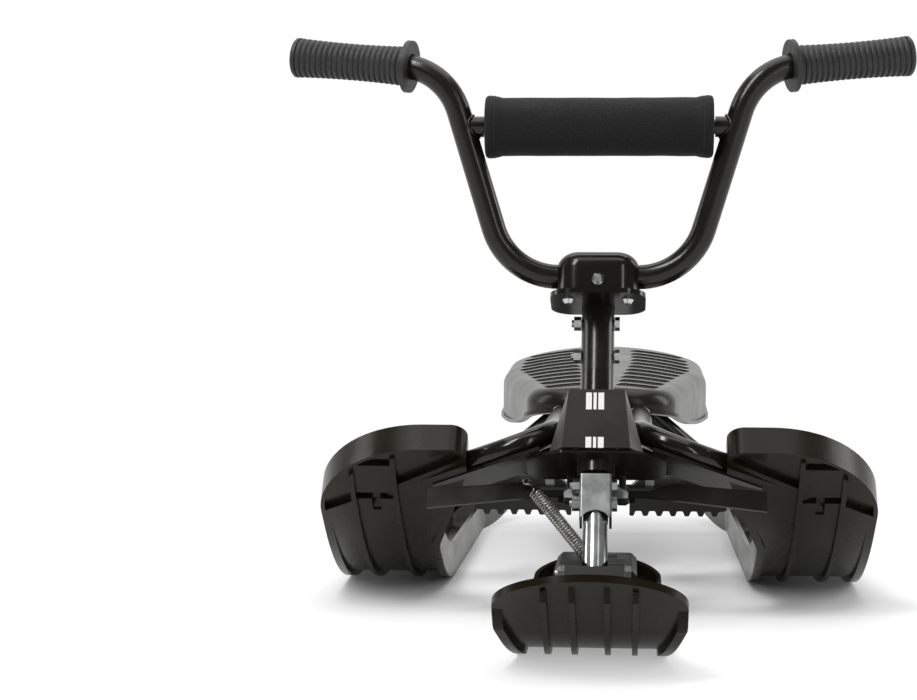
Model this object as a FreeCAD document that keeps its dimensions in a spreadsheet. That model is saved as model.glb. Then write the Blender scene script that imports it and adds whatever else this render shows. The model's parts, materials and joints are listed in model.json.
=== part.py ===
import FreeCAD, Part
import math
import os
import re

from FreeCAD import Placement, Rotation, Vector

# Driving sizes in millimetres and degrees: alias, value, meaning
SIZES = [
    ("overrun", 5, "how far a cutting tool runs past its work"),
    ("joint_gap", 0.1, "gap between pieces that are welded, screwed or pressed together"),
    ("free_gap", 0.5, "gap beside a piece that moves"),
    ("running_fit", 0.05, "radial gap of a turning fit"),
    # steering axis
    ("steering_rake", 28, "degrees that the steering axis leans back"),
    ("head_rise", 9, "middle of the head above the rails"),
    ("head_offset", 26, "middle of the head behind the rail corners"),
    ("pin_height", 41, "front ski pivot above the ground"),
    # side skis
    ("ski_center", 182, "middle plane of the sled to the middle of a side ski"),
    ("ski_width", 95, "over the two edge runners"),
    ("ski_flat", 409, "length on the ground"),
    ("ski_sheet", 4, "thickness of the sole"),
    ("ski_wall", 3.5, "thickness of the upright rim"),
    ("ski_wall_height", 26, "height of the rim above the underside of the sole"),
    ("ski_front_radius", 400, "upward sweep of the sole"),
    ("ski_front_angle", 42, "degrees of the front slope"),
    ("ski_slope", 41, "straight run at the top of the slope"),
    ("ski_tail_radius", 380, "upward sweep of the tail"),
    ("ski_tail_run", 158, "tail past the ground contact"),
    ("ski_inner_flare", 30, "how far tip and tail spread inward"),
    ("ski_tip_corner", 14, "radius of the inner tip corner"),
    ("ski_tip_sweep", 86, "length of the swept outer tip corner"),
    ("ski_tail_sweep", 66, "length of the swept outer tail corner"),
    ("ski_flare_run", 120, "length over which tip and tail spread"),
    ("runner_height", 5, "depth of the runners under the sole"),
    ("runner_width", 7, "width of the edge runners"),
    ("rib_width", 4, "width of the middle runners"),
    ("rib_offset", 17.5, "middle of the ski to the middle runners"),
    ("channel_offset", 16, "middle of the ski to the walls of its channel"),
    ("channel_wall", 3, "thickness of the channel walls and of the ladder ribs"),
    ("channel_height", 14, "height of the channel walls above the sole"),
    ("ladder_height", 9, "height of the ladder ribs above the sole"),
    ("ladder_pitch", 22, "distance between ladder ribs"),
    ("ridge_width", 30, "width of the moulded socket that holds a rail end"),
    ("ridge_cover", 3.5, "plastic over the rail end"),
    ("ski_runner_fade", 230, "ground contact to the front end of the edge runners, along the sole"),
    ("ski_rib_fade", 345, "ground contact to the front end of the middle runners, along the sole"),
    ("recess_depth", 5, "depth of the band and the pocket under the tip"),
    ("recess_cover", 3, "plastic over the band and the pocket"),
    ("recess_width", 15, "width of the band under the tip"),
    ("recess_shift", 33, "band above the rail end, along the slope"),
    ("pocket_length", 54, "length of the pocket under the tip"),
    ("pocket_end", 9, "sunk strip at each end of the pocket"),
    ("pocket_shift", 43, "middle of the pocket above the rail end, along the slope"),
    ("pocket_slot_width", 7, "slot below the pocket"),
    ("pocket_slot_length", 17, "slot below the pocket"),
    # frame tubes
    ("rail_tube", 20, "diameter of rails and struts"),
    ("rail_wall", 1.5, "wall of rails and struts"),
    ("rail_offset", 36, "middle plane to a rail"),
    ("rail_bend", 35, "bend radius of a rail at the head"),
    ("rail_rear", 672, "rail corner to the rear end of the rail"),
    ("arm_slant", 32.2, "degrees of the rail end across the ski slope"),
    ("arm_angle", 36, "degrees of the ski sweep where the rail end crosses the middle of the ski"),
    ("arm_lift", 1, "extra height of the rail end over the curved sole"),
    ("arm_past", 26, "rail end past the middle of the ski"),
    ("strut_bend", 40, "bend radius of a strut at the ski"),
    ("strut_top_offset", 47, "middle plane to the top of a strut"),
    ("strut_corner_back", 13, "strut corner behind the ground contact of the ski"),
    ("strut_lean", 77, "strut top ahead of its corner"),
    ("strut_foot", 255, "strut corner to the front end of its foot"),
    ("bridge_sheet", 3, "thickness of the plates between the tubes"),
    ("bridge_overhang", 26, "bridge past the middle of a rail"),
    ("front_bridge_overhang", 14, "front seat bridge past the middle of a rail"),
    ("bridge_length", 46, "length of a bridge along the sled"),
    ("screw_diameter", 5, "screws into plastic"),
    ("screw_head", 10, "head diameter of those screws"),
    ("screw_head_height", 3.2, "head height of those screws"),
    ("bolt_diameter", 6, "hexagon bolts"),
    ("bolt_across", 10, "across the flats of heads and nuts"),
    ("bolt_head_height", 4.2, "head height"),
    ("nut_height", 6, "height of a lock nut"),
    # head
    ("steering_tube", 21.3, "diameter of the inner steering tube"),
    ("steering_wall", 2, "wall of the inner steering tube"),
    ("head_tube", 34, "outer diameter of the head tube"),
    ("head_bore", 29, "inner diameter of the head tube"),
    ("head_up", 14, "head tube above its middle"),
    ("head_down", 30, "head tube below its middle"),
    ("bush_length", 12, "bush inside the head tube"),
    ("bush_flange", 38, "diameter of the lower bush flange"),
    ("bush_flange_height", 6, "height of the lower bush flange"),
    ("bush_skirt", 30, "diameter of the lower bush below its flange"),
    ("bush_skirt_height", 11.5, "lower bush below its flange"),
    ("bush_collar_height", 28.5, "height of the upper bush collar"),
    ("gusset_back", 96, "length of the gusset behind the head"),
    ("gusset_nose", 30, "height of the gusset above the rails at the head"),
    ("gusset_tail", 10, "height of the gusset above the rails at its rear end"),
    ("gusset_drop", 9, "gusset below the middle of the rails"),
    ("cover_top_width", 49, "head cover across its top"),
    ("cover_bottom_width", 76, "head cover across its bottom"),
    ("cover_face_top", 45, "front face of the head cover across its top"),
    ("cover_face_bottom", 54, "front face of the head cover across its bottom"),
    ("cover_front", 25, "front face of the head cover ahead of the axis"),
    ("cover_bevel", 13, "depth of the bevelled sides"),
    ("cover_back", 16, "rear edge of the head cover behind the axis"),
    ("cover_up", 18, "top of the head cover above the middle of the head"),
    ("cover_down", 33, "bottom of the head cover below the middle of the head"),
    ("cover_wall", 2.4, "wall of the head cover"),
    ("plate_half_width", 56, "cross plate, middle to side"),
    ("plate_front", 22, "cross plate ahead of the axis"),
    ("plate_back", 32, "cross plate behind the axis"),
    ("wing_front", 10, "wing of the cross plate ahead of the rail end"),
    ("wing_back", 26, "wing of the cross plate behind the rail end"),
    ("wing_inner", 46, "middle plane to the inner end of a wing"),
    ("member_back", 21, "cross member behind the steering axis"),
    ("member_drop", 15.5, "top of the cross member below the cross plate at its bolts"),
    ("member_thin", 5, "height of the cross member in the middle"),
    ("member_deep", 14, "height of the cross member beside the skis"),
    ("member_step", 60, "middle plane to the deep ends of the cross member"),
    ("member_rise", 6.5, "how far the deep ends stand above the middle"),
    ("member_droop", 6, "how far the ends of the cross member hang below its step"),
    ("member_end", 17, "height of the cross member at the skis"),
    ("member_flange", 18, "depth of the flange in the middle"),
    ("cross_bolt_offset", 21, "middle plane to the bolts of the cross member"),
    # steering column
    ("column_tube", 27, "diameter of the column"),
    ("column_length", 68.5, "length of the column above the bush collar"),
    ("column_bolt_low", 60, "lower column bolt above the middle of the head"),
    ("column_bolt_high", 90, "upper column bolt above the middle of the head"),
    ("steering_tube_up", 100, "top of the inner steering tube above the middle of the head"),
    ("steering_tube_down", 60, "bottom of the inner steering tube below the middle of the head"),
    ("fork_up", 50, "top of the fork bracket below the middle of the head"),
    ("fork_length", 37, "height of the fork bracket"),
    ("fork_sheet", 2, "sheet of the fork bracket"),
    ("fork_depth", 25, "depth of the fork bracket"),
    ("fork_bolt_high", 55, "upper fork bolt below the middle of the head"),
    ("fork_bolt_low", 71, "lower fork bolt below the middle of the head"),
    ("fork_wave", 6, "height of the notch in the lower edge of the fork bracket"),
    ("fork_ear", 13, "length of the ears of the fork bracket"),
    ("lower_tube", 20, "diameter of the lower tube"),
    ("lower_wall", 2, "wall of the lower tube"),
    ("lower_past", 12, "lower tube past the ski pivot"),
    ("lug_up", 18, "spring lug above the ski pivot"),
    ("lug_reach", 12, "spring lug behind the lower tube"),
    ("lug_sheet", 4, "thickness of the spring lug"),
    ("lug_height", 12, "height of the spring lug"),
    # handlebar
    ("bar_tube", 20, "diameter of the handlebar"),
    ("bar_wall", 1.5, "wall of the handlebar"),
    ("bar_reach", 26.5, "handlebar ahead of the steering axis"),
    ("bar_rise", 119.5, "handlebar above the middle of the head, along the axis"),
    ("bar_half", 74, "middle plane to the lower corners of the handlebar"),
    ("bar_height", 170, "lower to upper corners"),
    ("bar_spread", 17, "degrees that the arms lean outward"),
    ("bar_low_bend", 56, "radius of the lower bends"),
    ("bar_high_bend", 54, "radius of the upper bends"),
    ("bar_end", 130, "upper corner to the end of the bar"),
    ("bar_upsweep", 5.8, "degrees"),
    ("bar_backsweep", 13.6, "degrees"),
    ("crossbar_tube", 12, "diameter of the crossbar"),
    ("crossbar_height", 123, "crossbar above the bottom of the handlebar"),
    ("crossbar_collar", 17, "diameter of the crossbar ferrules"),
    ("crossbar_collar_length", 7, "length of the crossbar ferrules"),
    ("pad_diameter", 54, "crossbar pad"),
    ("pad_length", 186, "crossbar pad"),
    ("pad_round", 4, "rounded ends of the pad"),
    ("pad_gap", 0.3, "gap between the pad and the crossbar"),
    ("grip_length", 103, "grip over its flange and end cap"),
    ("grip_diameter", 30.5, "grip at its waist"),
    ("grip_end_diameter", 33, "grip at its end"),
    ("grip_flange", 43, "diameter of the hand guard flange"),
    ("grip_flange_length", 4, "thickness of the flange"),
    ("grip_cap", 3, "thickness of the closed end"),
    ("grip_relief", 0.6, "how far the bore of a grip widens at its flange"),
    ("grip_ring_depth", 1.1, "depth of the grooves between rings"),
    # stem
    ("stem_tilt", 16, "degrees that the stem leans back"),
    ("stem_sheet", 4, "stem bracket plate"),
    ("stem_half_width", 29, "stem bracket plate, middle to side"),
    ("stem_front", 42, "stem bracket ahead of the axis"),
    ("stem_back", 16, "stem bracket behind the axis"),
    ("clamp_half_width", 19, "bar clamp, middle to side"),
    ("clamp_depth", 25, "bar clamp along the sled"),
    ("clamp_height", 14, "bar clamp above the middle of the bar"),
    ("dome_half_width", 34, "stem cover, middle to side"),
    ("dome_height", 34, "stem cover"),
    ("dome_wall", 2.4, "stem cover wall"),
    ("dome_round", 15, "upper edge of the stem cover"),
    ("dome_corner", 19, "upright edges of the stem cover"),
    ("dome_margin", 4.8, "stem cover past the bracket plate"),
    ("tray_half_width", 39, "lower stem cover, middle to side"),
    ("tray_sheet", 4, "lower stem cover"),
    ("stem_screw_offset", 24, "middle plane to the screws of the lower stem cover"),
    # front ski
    ("blade_width", 108, "over the two edge runners"),
    ("blade_tip_width", 134, "widest part of the tip"),
    ("blade_flat", 268, "length on the ground"),
    ("blade_pin_share", 0.52, "share of the ground contact behind the ski pivot"),
    ("blade_front_radius", 140, "upward sweep of the tip"),
    ("blade_front_angle", 30, "degrees of the tip"),
    ("blade_slope", 92, "straight run of the tip"),
    ("blade_tip_round", 48, "length of the rounded tip"),
    ("blade_tip_rim", 5.5, "rim at the tip above the underside of the sole"),
    ("blade_tip_low", 62, "length of the low rim at the tip"),
    ("blade_tail_radius", 200, "upward sweep of the tail"),
    ("blade_tail_run", 72, "tail past the ground contact"),
    ("blade_wall_height", 13, "height of the rim above the underside of the sole"),
    ("blade_rib_inner", 11.8, "middle plane to the inner middle runners"),
    ("blade_rib_outer", 31, "middle plane to the outer middle runners"),
    ("blade_runner_fade", 117, "ground contact to the front end of the edge runners, along the sole"),
    ("blade_rib_fade", 157, "ground contact to the front end of the middle runners, along the sole"),
    ("tower_width", 46, "width of the tower at the ski pivot"),
    ("tower_height", 11, "top of the tower above the ski pivot"),
    ("tower_half_length", 22, "ski pivot to the front edge of the tower top"),
    ("tower_ramp", 36, "length of the ramp ahead of the tower"),
    ("box_length", 126, "length of the housing behind the tower"),
    ("box_width", 66, "width of the housing"),
    ("box_drop", 9, "top of the housing below the top of the tower"),
    ("box_chamfer", 8, "bevel of the housing"),
    ("box_slot_width", 5, "slots in the housing"),
    ("box_slot_length", 34, "slots in the housing"),
    ("box_slot_depth", 4, "slots in the housing"),
    ("box_slot_pitch", 13, "slots in the housing"),
    ("rock_room", 4, "depth of the slot of the tower below the lower tube"),
    ("pin_diameter", 8, "ski pivot bolt"),
    ("pin_across", 13, "across the flats of the ski pivot bolt"),
    ("pin_head_height", 5.3, "head height of the ski pivot bolt"),
    ("knob_ahead", 134, "tow knob ahead of the ski pivot"),
    ("knob_height", 42, "top of the tow knob above the sole"),
    ("knob_width", 68, "tow knob across its bar"),
    ("knob_bar", 20, "tow knob bar along the ski"),
    ("knob_bar_height", 9, "tow knob bar"),
    ("knob_neck", 14, "neck of the tow knob"),
    # seat
    ("seat_length", 552, "nose to rear end"),
    ("seat_nose_back", 304, "rail corner to the nose of the seat"),
    ("seat_half_width", 108, "middle plane to the side"),
    ("seat_nose_half", 65, "middle plane to the corner of the nose"),
    ("seat_taper", 321, "nose to the widest part"),
    ("seat_nose_round", 50, "corner radius of the nose"),
    ("seat_side_round", 220, "radius where the taper ends"),
    ("seat_rear_round", 92, "corner radius of the rear end"),
    ("seat_rim_rise", 3.4, "rim of the seat at its nose above the middle of the rails"),
    ("seat_belly", 20, "rim of the seat at its widest part below its nose"),
    ("seat_tail_lift", 8, "rim of the seat at its rear end above its nose"),
    ("seat_nose_height", 22.3, "seat above its rim at the nose"),
    ("seat_pitch", 2.9, "degrees that the top of the seat rises to the rear"),
    ("seat_crown", 439, "radius of the crowned top across the seat"),
    ("seat_shoulder", 15, "radius of the shoulder"),
    ("seat_wall", 4, "wall of the shell"),
    ("seat_lip", 2.5, "lip around the rim"),
    ("seat_lip_height", 3.5, "height of the lip"),
    ("seat_boss", 18, "diameter of the bosses that the seat is screwed to"),
    ("seat_boss_offset", 20, "middle plane to a boss"),
    ("flute_width", 32, "width of the flutes in the seat"),
    ("flute_depth", 1, "depth of the flutes"),
    ("flute_pitch", 44, "distance between flutes"),
    ("flute_start", 48, "nose to the first flute"),
    ("flute_corner", 6, "corner radius of a flute"),
    ("flute_inner", 13, "middle plane to the inner end of a flute at the nose"),
    ("flute_inner_rear", 29, "middle plane to the inner end of a flute at the widest part"),
    ("flute_margin", 19, "side of the seat to the outer end of a flute"),
    ("flute_slant", 13, "degrees that the flutes run forward"),
    ("front_bridge_back", 96, "nose of the seat to the front bridge"),
    # brake
    ("brake_hinge_back", 158, "rail corner to the brake axle"),
    ("brake_hinge_drop", 26, "brake axle below the middle of the rails"),
    ("brake_axle", 8, "diameter of the brake axle"),
    ("brake_axle_head", 13, "diameter of the heads of the brake axle"),
    ("brake_barrel", 14, "diameter of the hinge barrel"),
    ("brake_half_width", 117, "pedal, middle plane to its side"),
    ("brake_sheet", 2.5, "sheet of the pedal"),
    ("brake_plate_start", 98, "axle to the front edge of the foot plate"),
    ("brake_plate_drop", 22, "front edge of the foot plate below the axle"),
    ("brake_plate_length", 52, "foot plate along the sled"),
    ("brake_plate_slope", 18, "degrees that the foot plate falls to the rear"),
    ("brake_flange_height", 31, "toothed flange with its teeth"),
    ("brake_flange_angle", 20, "degrees that the toothed flange leans back"),
    ("brake_gap", 54, "gap between the two rows of teeth"),
    ("brake_arch", 25, "height of the arch between the rows of teeth"),
    ("tooth_height", 5, "height of the teeth"),
    ("dimple", 5, "diameter of the pierced studs of the foot plate"),
    ("dimple_height", 2, "height of the pierced studs"),
    ("dimple_pitch", 17, "distance between studs"),
    ("brake_arm_offset", 45, "middle plane to an arm"),
    ("brake_arm_width", 8, "width of an arm"),
    ("brake_arm_height", 12, "height of an arm"),
    ("bracket_ear_gap", 0.4, "gap between barrel and bracket ears"),
    ("bracket_length", 62, "brake bracket along the sled"),
    # return spring
    ("spring_wire", 1.5, "wire of the return spring"),
    ("spring_diameter", 11, "outer diameter of the return spring"),
    ("spring_hook", 10, "length of each end of the return spring"),
    ("spring_anchor", 55, "middle plane to the upper end of the return spring"),
]

DOC = FreeCAD.newDocument("SteeringSled")
SHEET = DOC.addObject("Spreadsheet::Sheet", "Sizes")
for row, (alias, value, meaning) in enumerate(SIZES, start=1):
    SHEET.set("A%d" % row, meaning)
    SHEET.set("B%d" % row, str(value))
    SHEET.setAlias("B%d" % row, alias)
DOC.recompute()

UP = Vector(0, 0, 1)
ACROSS = Vector(1, 0, 0)
ALONG = Vector(0, 1, 0)
ORIGIN = Vector(0, 0, 0)
NODES = {}
SCREW_CROWN_SHARE = 0.6


def size(alias):
    """A driving size, read from the sheet."""
    return float(SHEET.get(alias))


def sine(alias):
    return math.sin(math.radians(size(alias)))


def cosine(alias):
    return math.cos(math.radians(size(alias)))


def bind(thing, **formulas):
    """Bind properties to formulas written with the names in the sheet."""
    for name, formula in formulas.items():
        thing.setExpression(name, re.sub(r"\b[a-z][a-z_]+\b(?!\()", r"Sizes.\g<0>", formula))
    return thing


def node(label, thing):
    """Give a finished piece its name."""
    thing.Label = label
    NODES[label] = thing
    return thing


def feature(name, shape, placement=None):
    thing = DOC.addObject("Part::Feature", name)
    thing.Shape = shape
    if placement is not None:
        thing.Placement = placement
    return thing


def facing(direction):
    """The rotation that turns +Z to a direction."""
    return Rotation(UP, direction)


def rod(name, radius, height, base, direction=UP):
    thing = bind(DOC.addObject("Part::Cylinder", name), Radius=radius, Height=height)
    thing.Placement = Placement(base, facing(direction))
    return thing


def cut(name, base, tool):
    thing = DOC.addObject("Part::Cut", name)
    thing.Base = base
    thing.Tool = tool
    return thing


def fuse(name, pieces):
    thing = DOC.addObject("Part::MultiFuse", name)
    thing.Shapes = pieces
    return thing


def group(name, pieces):
    thing = DOC.addObject("Part::Compound", name)
    thing.Links = pieces
    return thing


def mirrored(name, source):
    """The same piece on the other side of the sled."""
    thing = DOC.addObject("Part::Mirroring", name)
    thing.Source = source
    thing.Normal = ACROSS
    return thing


def pipe(name, radius, wall, height, base, direction):
    """A straight tube; radius and wall are formulas."""
    outer = rod(name + "_outside", radius, height, base, direction)
    inner = rod(name + "_inside", "%s - %s" % (radius, wall), height, base, direction)
    return cut(name, outer, inner)


def hex_bolt(name, seat, direction, diameter, length, across, head_height):
    """A bolt whose head stands on seat and whose shank runs along direction."""
    shank = rod(name + "_shank", diameter + " / 2", length, seat, direction)
    head = bind(DOC.addObject("Part::Prism", name + "_head"), Circumradius=across + " / 2 / cos(30)",
                Height=head_height)
    head.Polygon = 6
    head.Placement = Placement(seat, facing(-direction))
    return fuse(name, [shank, head])


def hex_nut(name, seat, direction, diameter, across, height):
    """A nut on seat, standing out along direction, with its thread hole."""
    body = bind(DOC.addObject("Part::Prism", name + "_body"), Circumradius=across + " / 2 / cos(30)",
                Height=height)
    body.Polygon = 6
    body.Placement = Placement(seat, facing(direction))
    hole = rod(name + "_hole", diameter + " / 2 + joint_gap", height, seat, direction)
    return cut(name, body, hole)


def pan_screw(name, seat, direction, length):
    """A screw with a domed head on seat and its shank along direction."""
    shank = rod(name + "_shank", "screw_diameter / 2", length, seat, direction)
    crown = "screw_head / 2 * %g" % SCREW_CROWN_SHARE
    head = bind(DOC.addObject("Part::Cone", name + "_head"), Radius1="screw_head / 2", Radius2=crown,
                Height="screw_head_height")
    head.Placement = Placement(seat, facing(-direction))
    return fuse(name, [shank, head])


def rounded_edges(corners, closed=True):
    """Lines and tangent arcs through corners given as (point, radius)."""
    count = len(corners)
    first = 0 if closed else 1
    last = count if closed else count - 1
    arcs = []
    for index in range(first, last):
        point, radius = corners[index]
        before = (corners[index - 1][0] - point).normalize()
        after = (corners[(index + 1) % count][0] - point).normalize()
        if radius == 0:
            arcs.append((point, None, point))
            continue
        half = before.getAngle(after) / 2
        tangent = radius / math.tan(half)
        middle = (before + after).normalize() * (radius / math.sin(half) - radius)
        arcs.append((point + before * tangent, point + middle, point + after * tangent))
    edges = []
    start = arcs[-1][2] if closed else corners[0][0]
    for begin, middle, end in arcs:
        if (begin - start).Length > 0:
            edges.append(Part.LineSegment(start, begin))
        if middle is not None:
            edges.append(Part.Arc(begin, middle, end))
        start = end
    if not closed and (corners[-1][0] - start).Length > 0:
        edges.append(Part.LineSegment(start, corners[-1][0]))
    return edges


def flat_points(points):
    """Corner list in the XY plane from (x, y, radius) triples."""
    return [(Vector(x, y, 0), radius) for x, y, radius in points]


def prism(points, low, high):
    """A solid on a rounded outline in the XY plane, from one height to another."""
    wire = Part.Wire([edge.toShape() for edge in rounded_edges(flat_points(points))])
    solid = Part.Face(wire).extrude(UP * (high - low))
    solid.translate(UP * low)
    return solid


def side_prism(points, half_width):
    """A solid on an outline given as (y, z, radius), as wide as twice half_width about the middle plane."""
    corners = [(Vector(-half_width, y, z), radius) for y, z, radius in points]
    wire = Part.Wire([edge.toShape() for edge in rounded_edges(corners)])
    return Part.Face(wire).extrude(ACROSS * 2 * half_width)


def plate(name, points, thickness, holes=()):
    """A sheet-metal body: a sketch with its holes, padded to a bound thickness."""
    body = DOC.addObject("PartDesign::Body", name)
    sketch = body.newObject("Sketcher::SketchObject", name + "_outline")
    plane = [thing for thing in body.Origin.OriginFeatures if thing.Role == "XY_Plane"][0]
    sketch.AttachmentSupport = [(plane, "")]
    sketch.MapMode = "FlatFace"
    for edge in rounded_edges(flat_points(points)):
        sketch.addGeometry(edge, False)
    for x, y, radius in holes:
        sketch.addGeometry(Part.Circle(Vector(x, y, 0), UP, radius), False)
    pad = body.newObject("PartDesign::Pad", name + "_pad")
    pad.Profile = sketch
    bind(pad, Length=thickness)
    return body


def swept(path, radius):
    """A round bar along a wire."""
    first = path.OrderedEdges[0]
    start = first.valueAt(first.FirstParameter)
    ring = Part.Wire(Part.makeCircle(radius, start, first.tangentAt(first.FirstParameter)))
    return path.makePipeShell([ring], True, False)


def bent_tube(corners, diameter, wall):
    """A hollow tube along straight runs and bends."""
    path = Part.Wire([edge.toShape() for edge in rounded_edges(corners, closed=False)])
    radius = size(diameter) / 2
    return swept(path, radius).cut(swept(path, radius - size(wall)))


def box(low, high):
    spans = [b - a for a, b in zip(low, high)]
    return Part.makeBox(spans[0], spans[1], spans[2], Vector(*low))


def bar(base, direction, radius, length):
    return Part.makeCylinder(radius, length, base, direction)


# Stations: where the skis, the rails and the head stand

RAKE = math.radians(size("steering_rake"))
SLOPE = math.radians(size("ski_front_angle"))
GROUND_TO_SOLE = size("runner_height")
RAIL_RADIUS = size("rail_tube") / 2
SOCKET_CLEARANCE = size("joint_gap")

# From the front end of the ground contact of a side ski
ARM_TURN = math.radians(size("arm_angle"))
ARM_UP = Vector(0, -math.cos(ARM_TURN), math.sin(ARM_TURN))
ARM_NORMAL = Vector(0, math.sin(ARM_TURN), math.cos(ARM_TURN))
arm_foot = Vector(0, -size("ski_front_radius") * math.sin(ARM_TURN),
                  GROUND_TO_SOLE + size("ski_front_radius") * (1 - math.cos(ARM_TURN)))
arm_height = size("ski_sheet") + size("arm_lift") + SOCKET_CLEARANCE + RAIL_RADIUS
arm_crossing = arm_foot + ARM_NORMAL * arm_height
ARM_WAY = ACROSS - ARM_UP * math.tan(math.radians(size("arm_slant")))
arm_corner = arm_crossing + ARM_WAY * (size("rail_offset") - size("ski_center"))
head_from_contact = arm_corner.y + size("head_offset")
RAIL_Z = arm_corner.z
HEAD_Z = RAIL_Z + size("head_rise")
pin_from_head = -(HEAD_Z - size("pin_height")) * math.tan(RAKE)
blade_tip_run = (size("blade_front_radius") * sine("blade_front_angle")
                 + size("blade_slope") * cosine("blade_front_angle"))
contact_ahead = size("blade_flat") * (1 - size("blade_pin_share"))
tip_from_head = pin_from_head - contact_ahead - blade_tip_run
tail_from_head = size("ski_flat") + size("ski_tail_run") - head_from_contact

# The origin stands under the middle of the whole sled
HEAD_Y = -(tip_from_head + tail_from_head) / 2
CONTACT_Y = HEAD_Y - head_from_contact
TAIL_Y = HEAD_Y + tail_from_head
RAIL_CORNER_Y = CONTACT_Y + arm_corner.y
PIN_Y = HEAD_Y + pin_from_head
PIN_DOWN = (HEAD_Z - size("pin_height")) / math.cos(RAKE)
STEER = Placement(Vector(0, HEAD_Y, HEAD_Z), Rotation(ACROSS, -size("steering_rake")))
AXIS = STEER.Rotation.multVec(UP)
BACK = STEER.Rotation.multVec(ALONG)


def steer_point(x, back, up):
    """A place given across, behind and along the steering axis, from the middle of the head."""
    return STEER.multVec(Vector(x, back, up))


def other_side(point):
    return Vector(-point.x, point.y, point.z)


def steer_rod(name, radius, height, up):
    """A cylinder on the steering axis that starts at a place along it."""
    return rod(name, radius, height, steer_point(0, 0, up), AXIS)


# Skis: a sole swept up at both ends, in lines and arcs

SKI_LENGTH = size("ski_flat") + size("ski_tail_run") + size("ski_front_radius") + size("ski_slope")


class Sole:
    """The side line of a ski from tail to tip, and blocks that follow it."""

    def __init__(self, contact_y, flat, front_radius, front_angle, slope, tail_radius, tail_angle):
        self.front_angle = front_angle
        start = Vector(0, contact_y + flat + tail_radius * math.sin(tail_angle),
                       GROUND_TO_SOLE + tail_radius * (1 - math.cos(tail_angle)))
        self.steps = [("arc", tail_radius, tail_angle), ("line", flat, 0),
                      ("arc", front_radius, front_angle), ("line", slope, 0)]
        self.start = start
        self.heading = -tail_angle

    def walk(self, offset):
        """Edges of the line, shifted by offset to its upper side, and its end points."""
        place, heading, edges = self.start, self.heading, []
        for kind, length, turn in self.steps:
            normal = Vector(0, math.sin(heading), math.cos(heading))
            if kind == "line":
                step = Vector(0, -math.cos(heading), math.sin(heading)) * length
                edges.append(Part.LineSegment(place + normal * offset, place + step + normal * offset))
                place = place + step
                continue
            center = place + normal * length
            ends = [heading + turn * share for share in (0, 0.5, 1)]
            dots = [center - Vector(0, math.sin(a), math.cos(a)) * (length - offset) for a in ends]
            edges.append(Part.Arc(*dots))
            heading += turn
            place = center - Vector(0, math.sin(heading), math.cos(heading)) * length
        return edges

    def band(self, low, high, x_low, x_high):
        """The solid between two distances from the line and two places across the sled."""
        under = self.walk(low)
        over = self.walk(high)
        caps = [Part.LineSegment(under[0].StartPoint, over[0].StartPoint),
                Part.LineSegment(under[-1].EndPoint, over[-1].EndPoint)]
        wire = Part.Wire(Part.__sortEdges__([edge.toShape() for edge in under + over + caps]))
        solid = Part.Face(wire).extrude(ACROSS * (x_high - x_low))
        solid.translate(ACROSS * x_low)
        return solid

    def slope_frame(self):
        """Placement whose X runs across, Y up the slope and Z out of the underside."""
        arc = self.walk(0)[2]
        return Placement(arc.EndPoint, Rotation(ACROSS, 180 - math.degrees(self.front_angle)))

    def front_station(self, distance):
        """Place and direction along the sole, a distance ahead of the ground contact."""
        _, radius, turn = self.steps[2]
        foot = self.walk(0)[1].EndPoint
        angle = min(distance / radius, turn)
        rest = max(distance - radius * turn, 0)
        heading = Vector(0, -math.cos(angle), math.sin(angle))
        place = foot + Vector(0, -radius * math.sin(angle), radius * (1 - math.cos(angle))) + heading * rest
        return place, angle


def runner_room(sole, contact_y, distance):
    """Where runners may be: they fade out at a distance along the sole ahead of the ground contact."""
    place, _ = sole.front_station(distance)
    reach = contact_y - place.y
    radius = (reach ** 2 + place.z ** 2) / (2 * place.z)
    front = bar(Vector(-SKI_LENGTH, contact_y, radius), ACROSS, radius, 2 * SKI_LENGTH)
    behind = box((-SKI_LENGTH, contact_y, 0), (SKI_LENGTH, contact_y + 2 * SKI_LENGTH, 2 * radius))
    return front.fuse(behind)


def quarter_ellipse(center, half_x, half_y, start, end):
    """Part of an ellipse whose axes lie along X and Y, between two angles in degrees."""
    if half_x >= half_y:
        curve = Part.Ellipse(center, half_x, half_y)
        turn = 0
    else:
        curve = Part.Ellipse(center + ALONG * half_y, center - ACROSS * half_x, center)
        turn = 90
    return Part.ArcOfEllipse(curve, math.radians(start - turn), math.radians(end - turn))


def tip_outline(inset, reach, far, end, sweep, outer):
    """Outline of one end of a side ski: flared inside corner, swept outside corner.

    X runs across the sled, Y to the end of the ski at end. far is a place well behind it.
    """
    inner_side = size("ski_center") - size("ski_width") / 2 + inset
    inner_tip = inner_side - size("ski_inner_flare")
    flare_end = end - size("ski_tip_corner") * 2
    flare_start = flare_end - size("ski_flare_run")
    corner = size("ski_tip_corner")
    sweep_half = (outer - inner_tip - inset - corner) * reach
    corners = [(Vector(outer - inset, far, 0), 0), (Vector(inner_side, far, 0), 0),
               (Vector(inner_side, flare_start, 0), size("ski_flare_run") / 2),
               (Vector(inner_tip, flare_end, 0), size("ski_flare_run") / 4),
               (Vector(inner_tip, end - inset, 0), corner - inset),
               (Vector(outer - inset - sweep_half, end - inset, 0), 0)]
    edges = rounded_edges(corners, closed=False)
    center = Vector(outer - inset - sweep_half, end - sweep, 0)
    edges.append(quarter_ellipse(center, sweep_half, sweep - inset, 0, 90))
    edges.append(Part.LineSegment(center + ACROSS * sweep_half, corners[0][0]))
    wire = Part.Wire(Part.__sortEdges__([edge.toShape() for edge in edges]))
    return Part.Face(wire)


def thick(face, depth, placement):
    """A face made solid by a depth on each side and put in place."""
    solid = face.extrude(UP * 2 * depth)
    solid.translate(UP * -depth)
    solid.Placement = placement.multiply(solid.Placement)
    return solid


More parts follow.
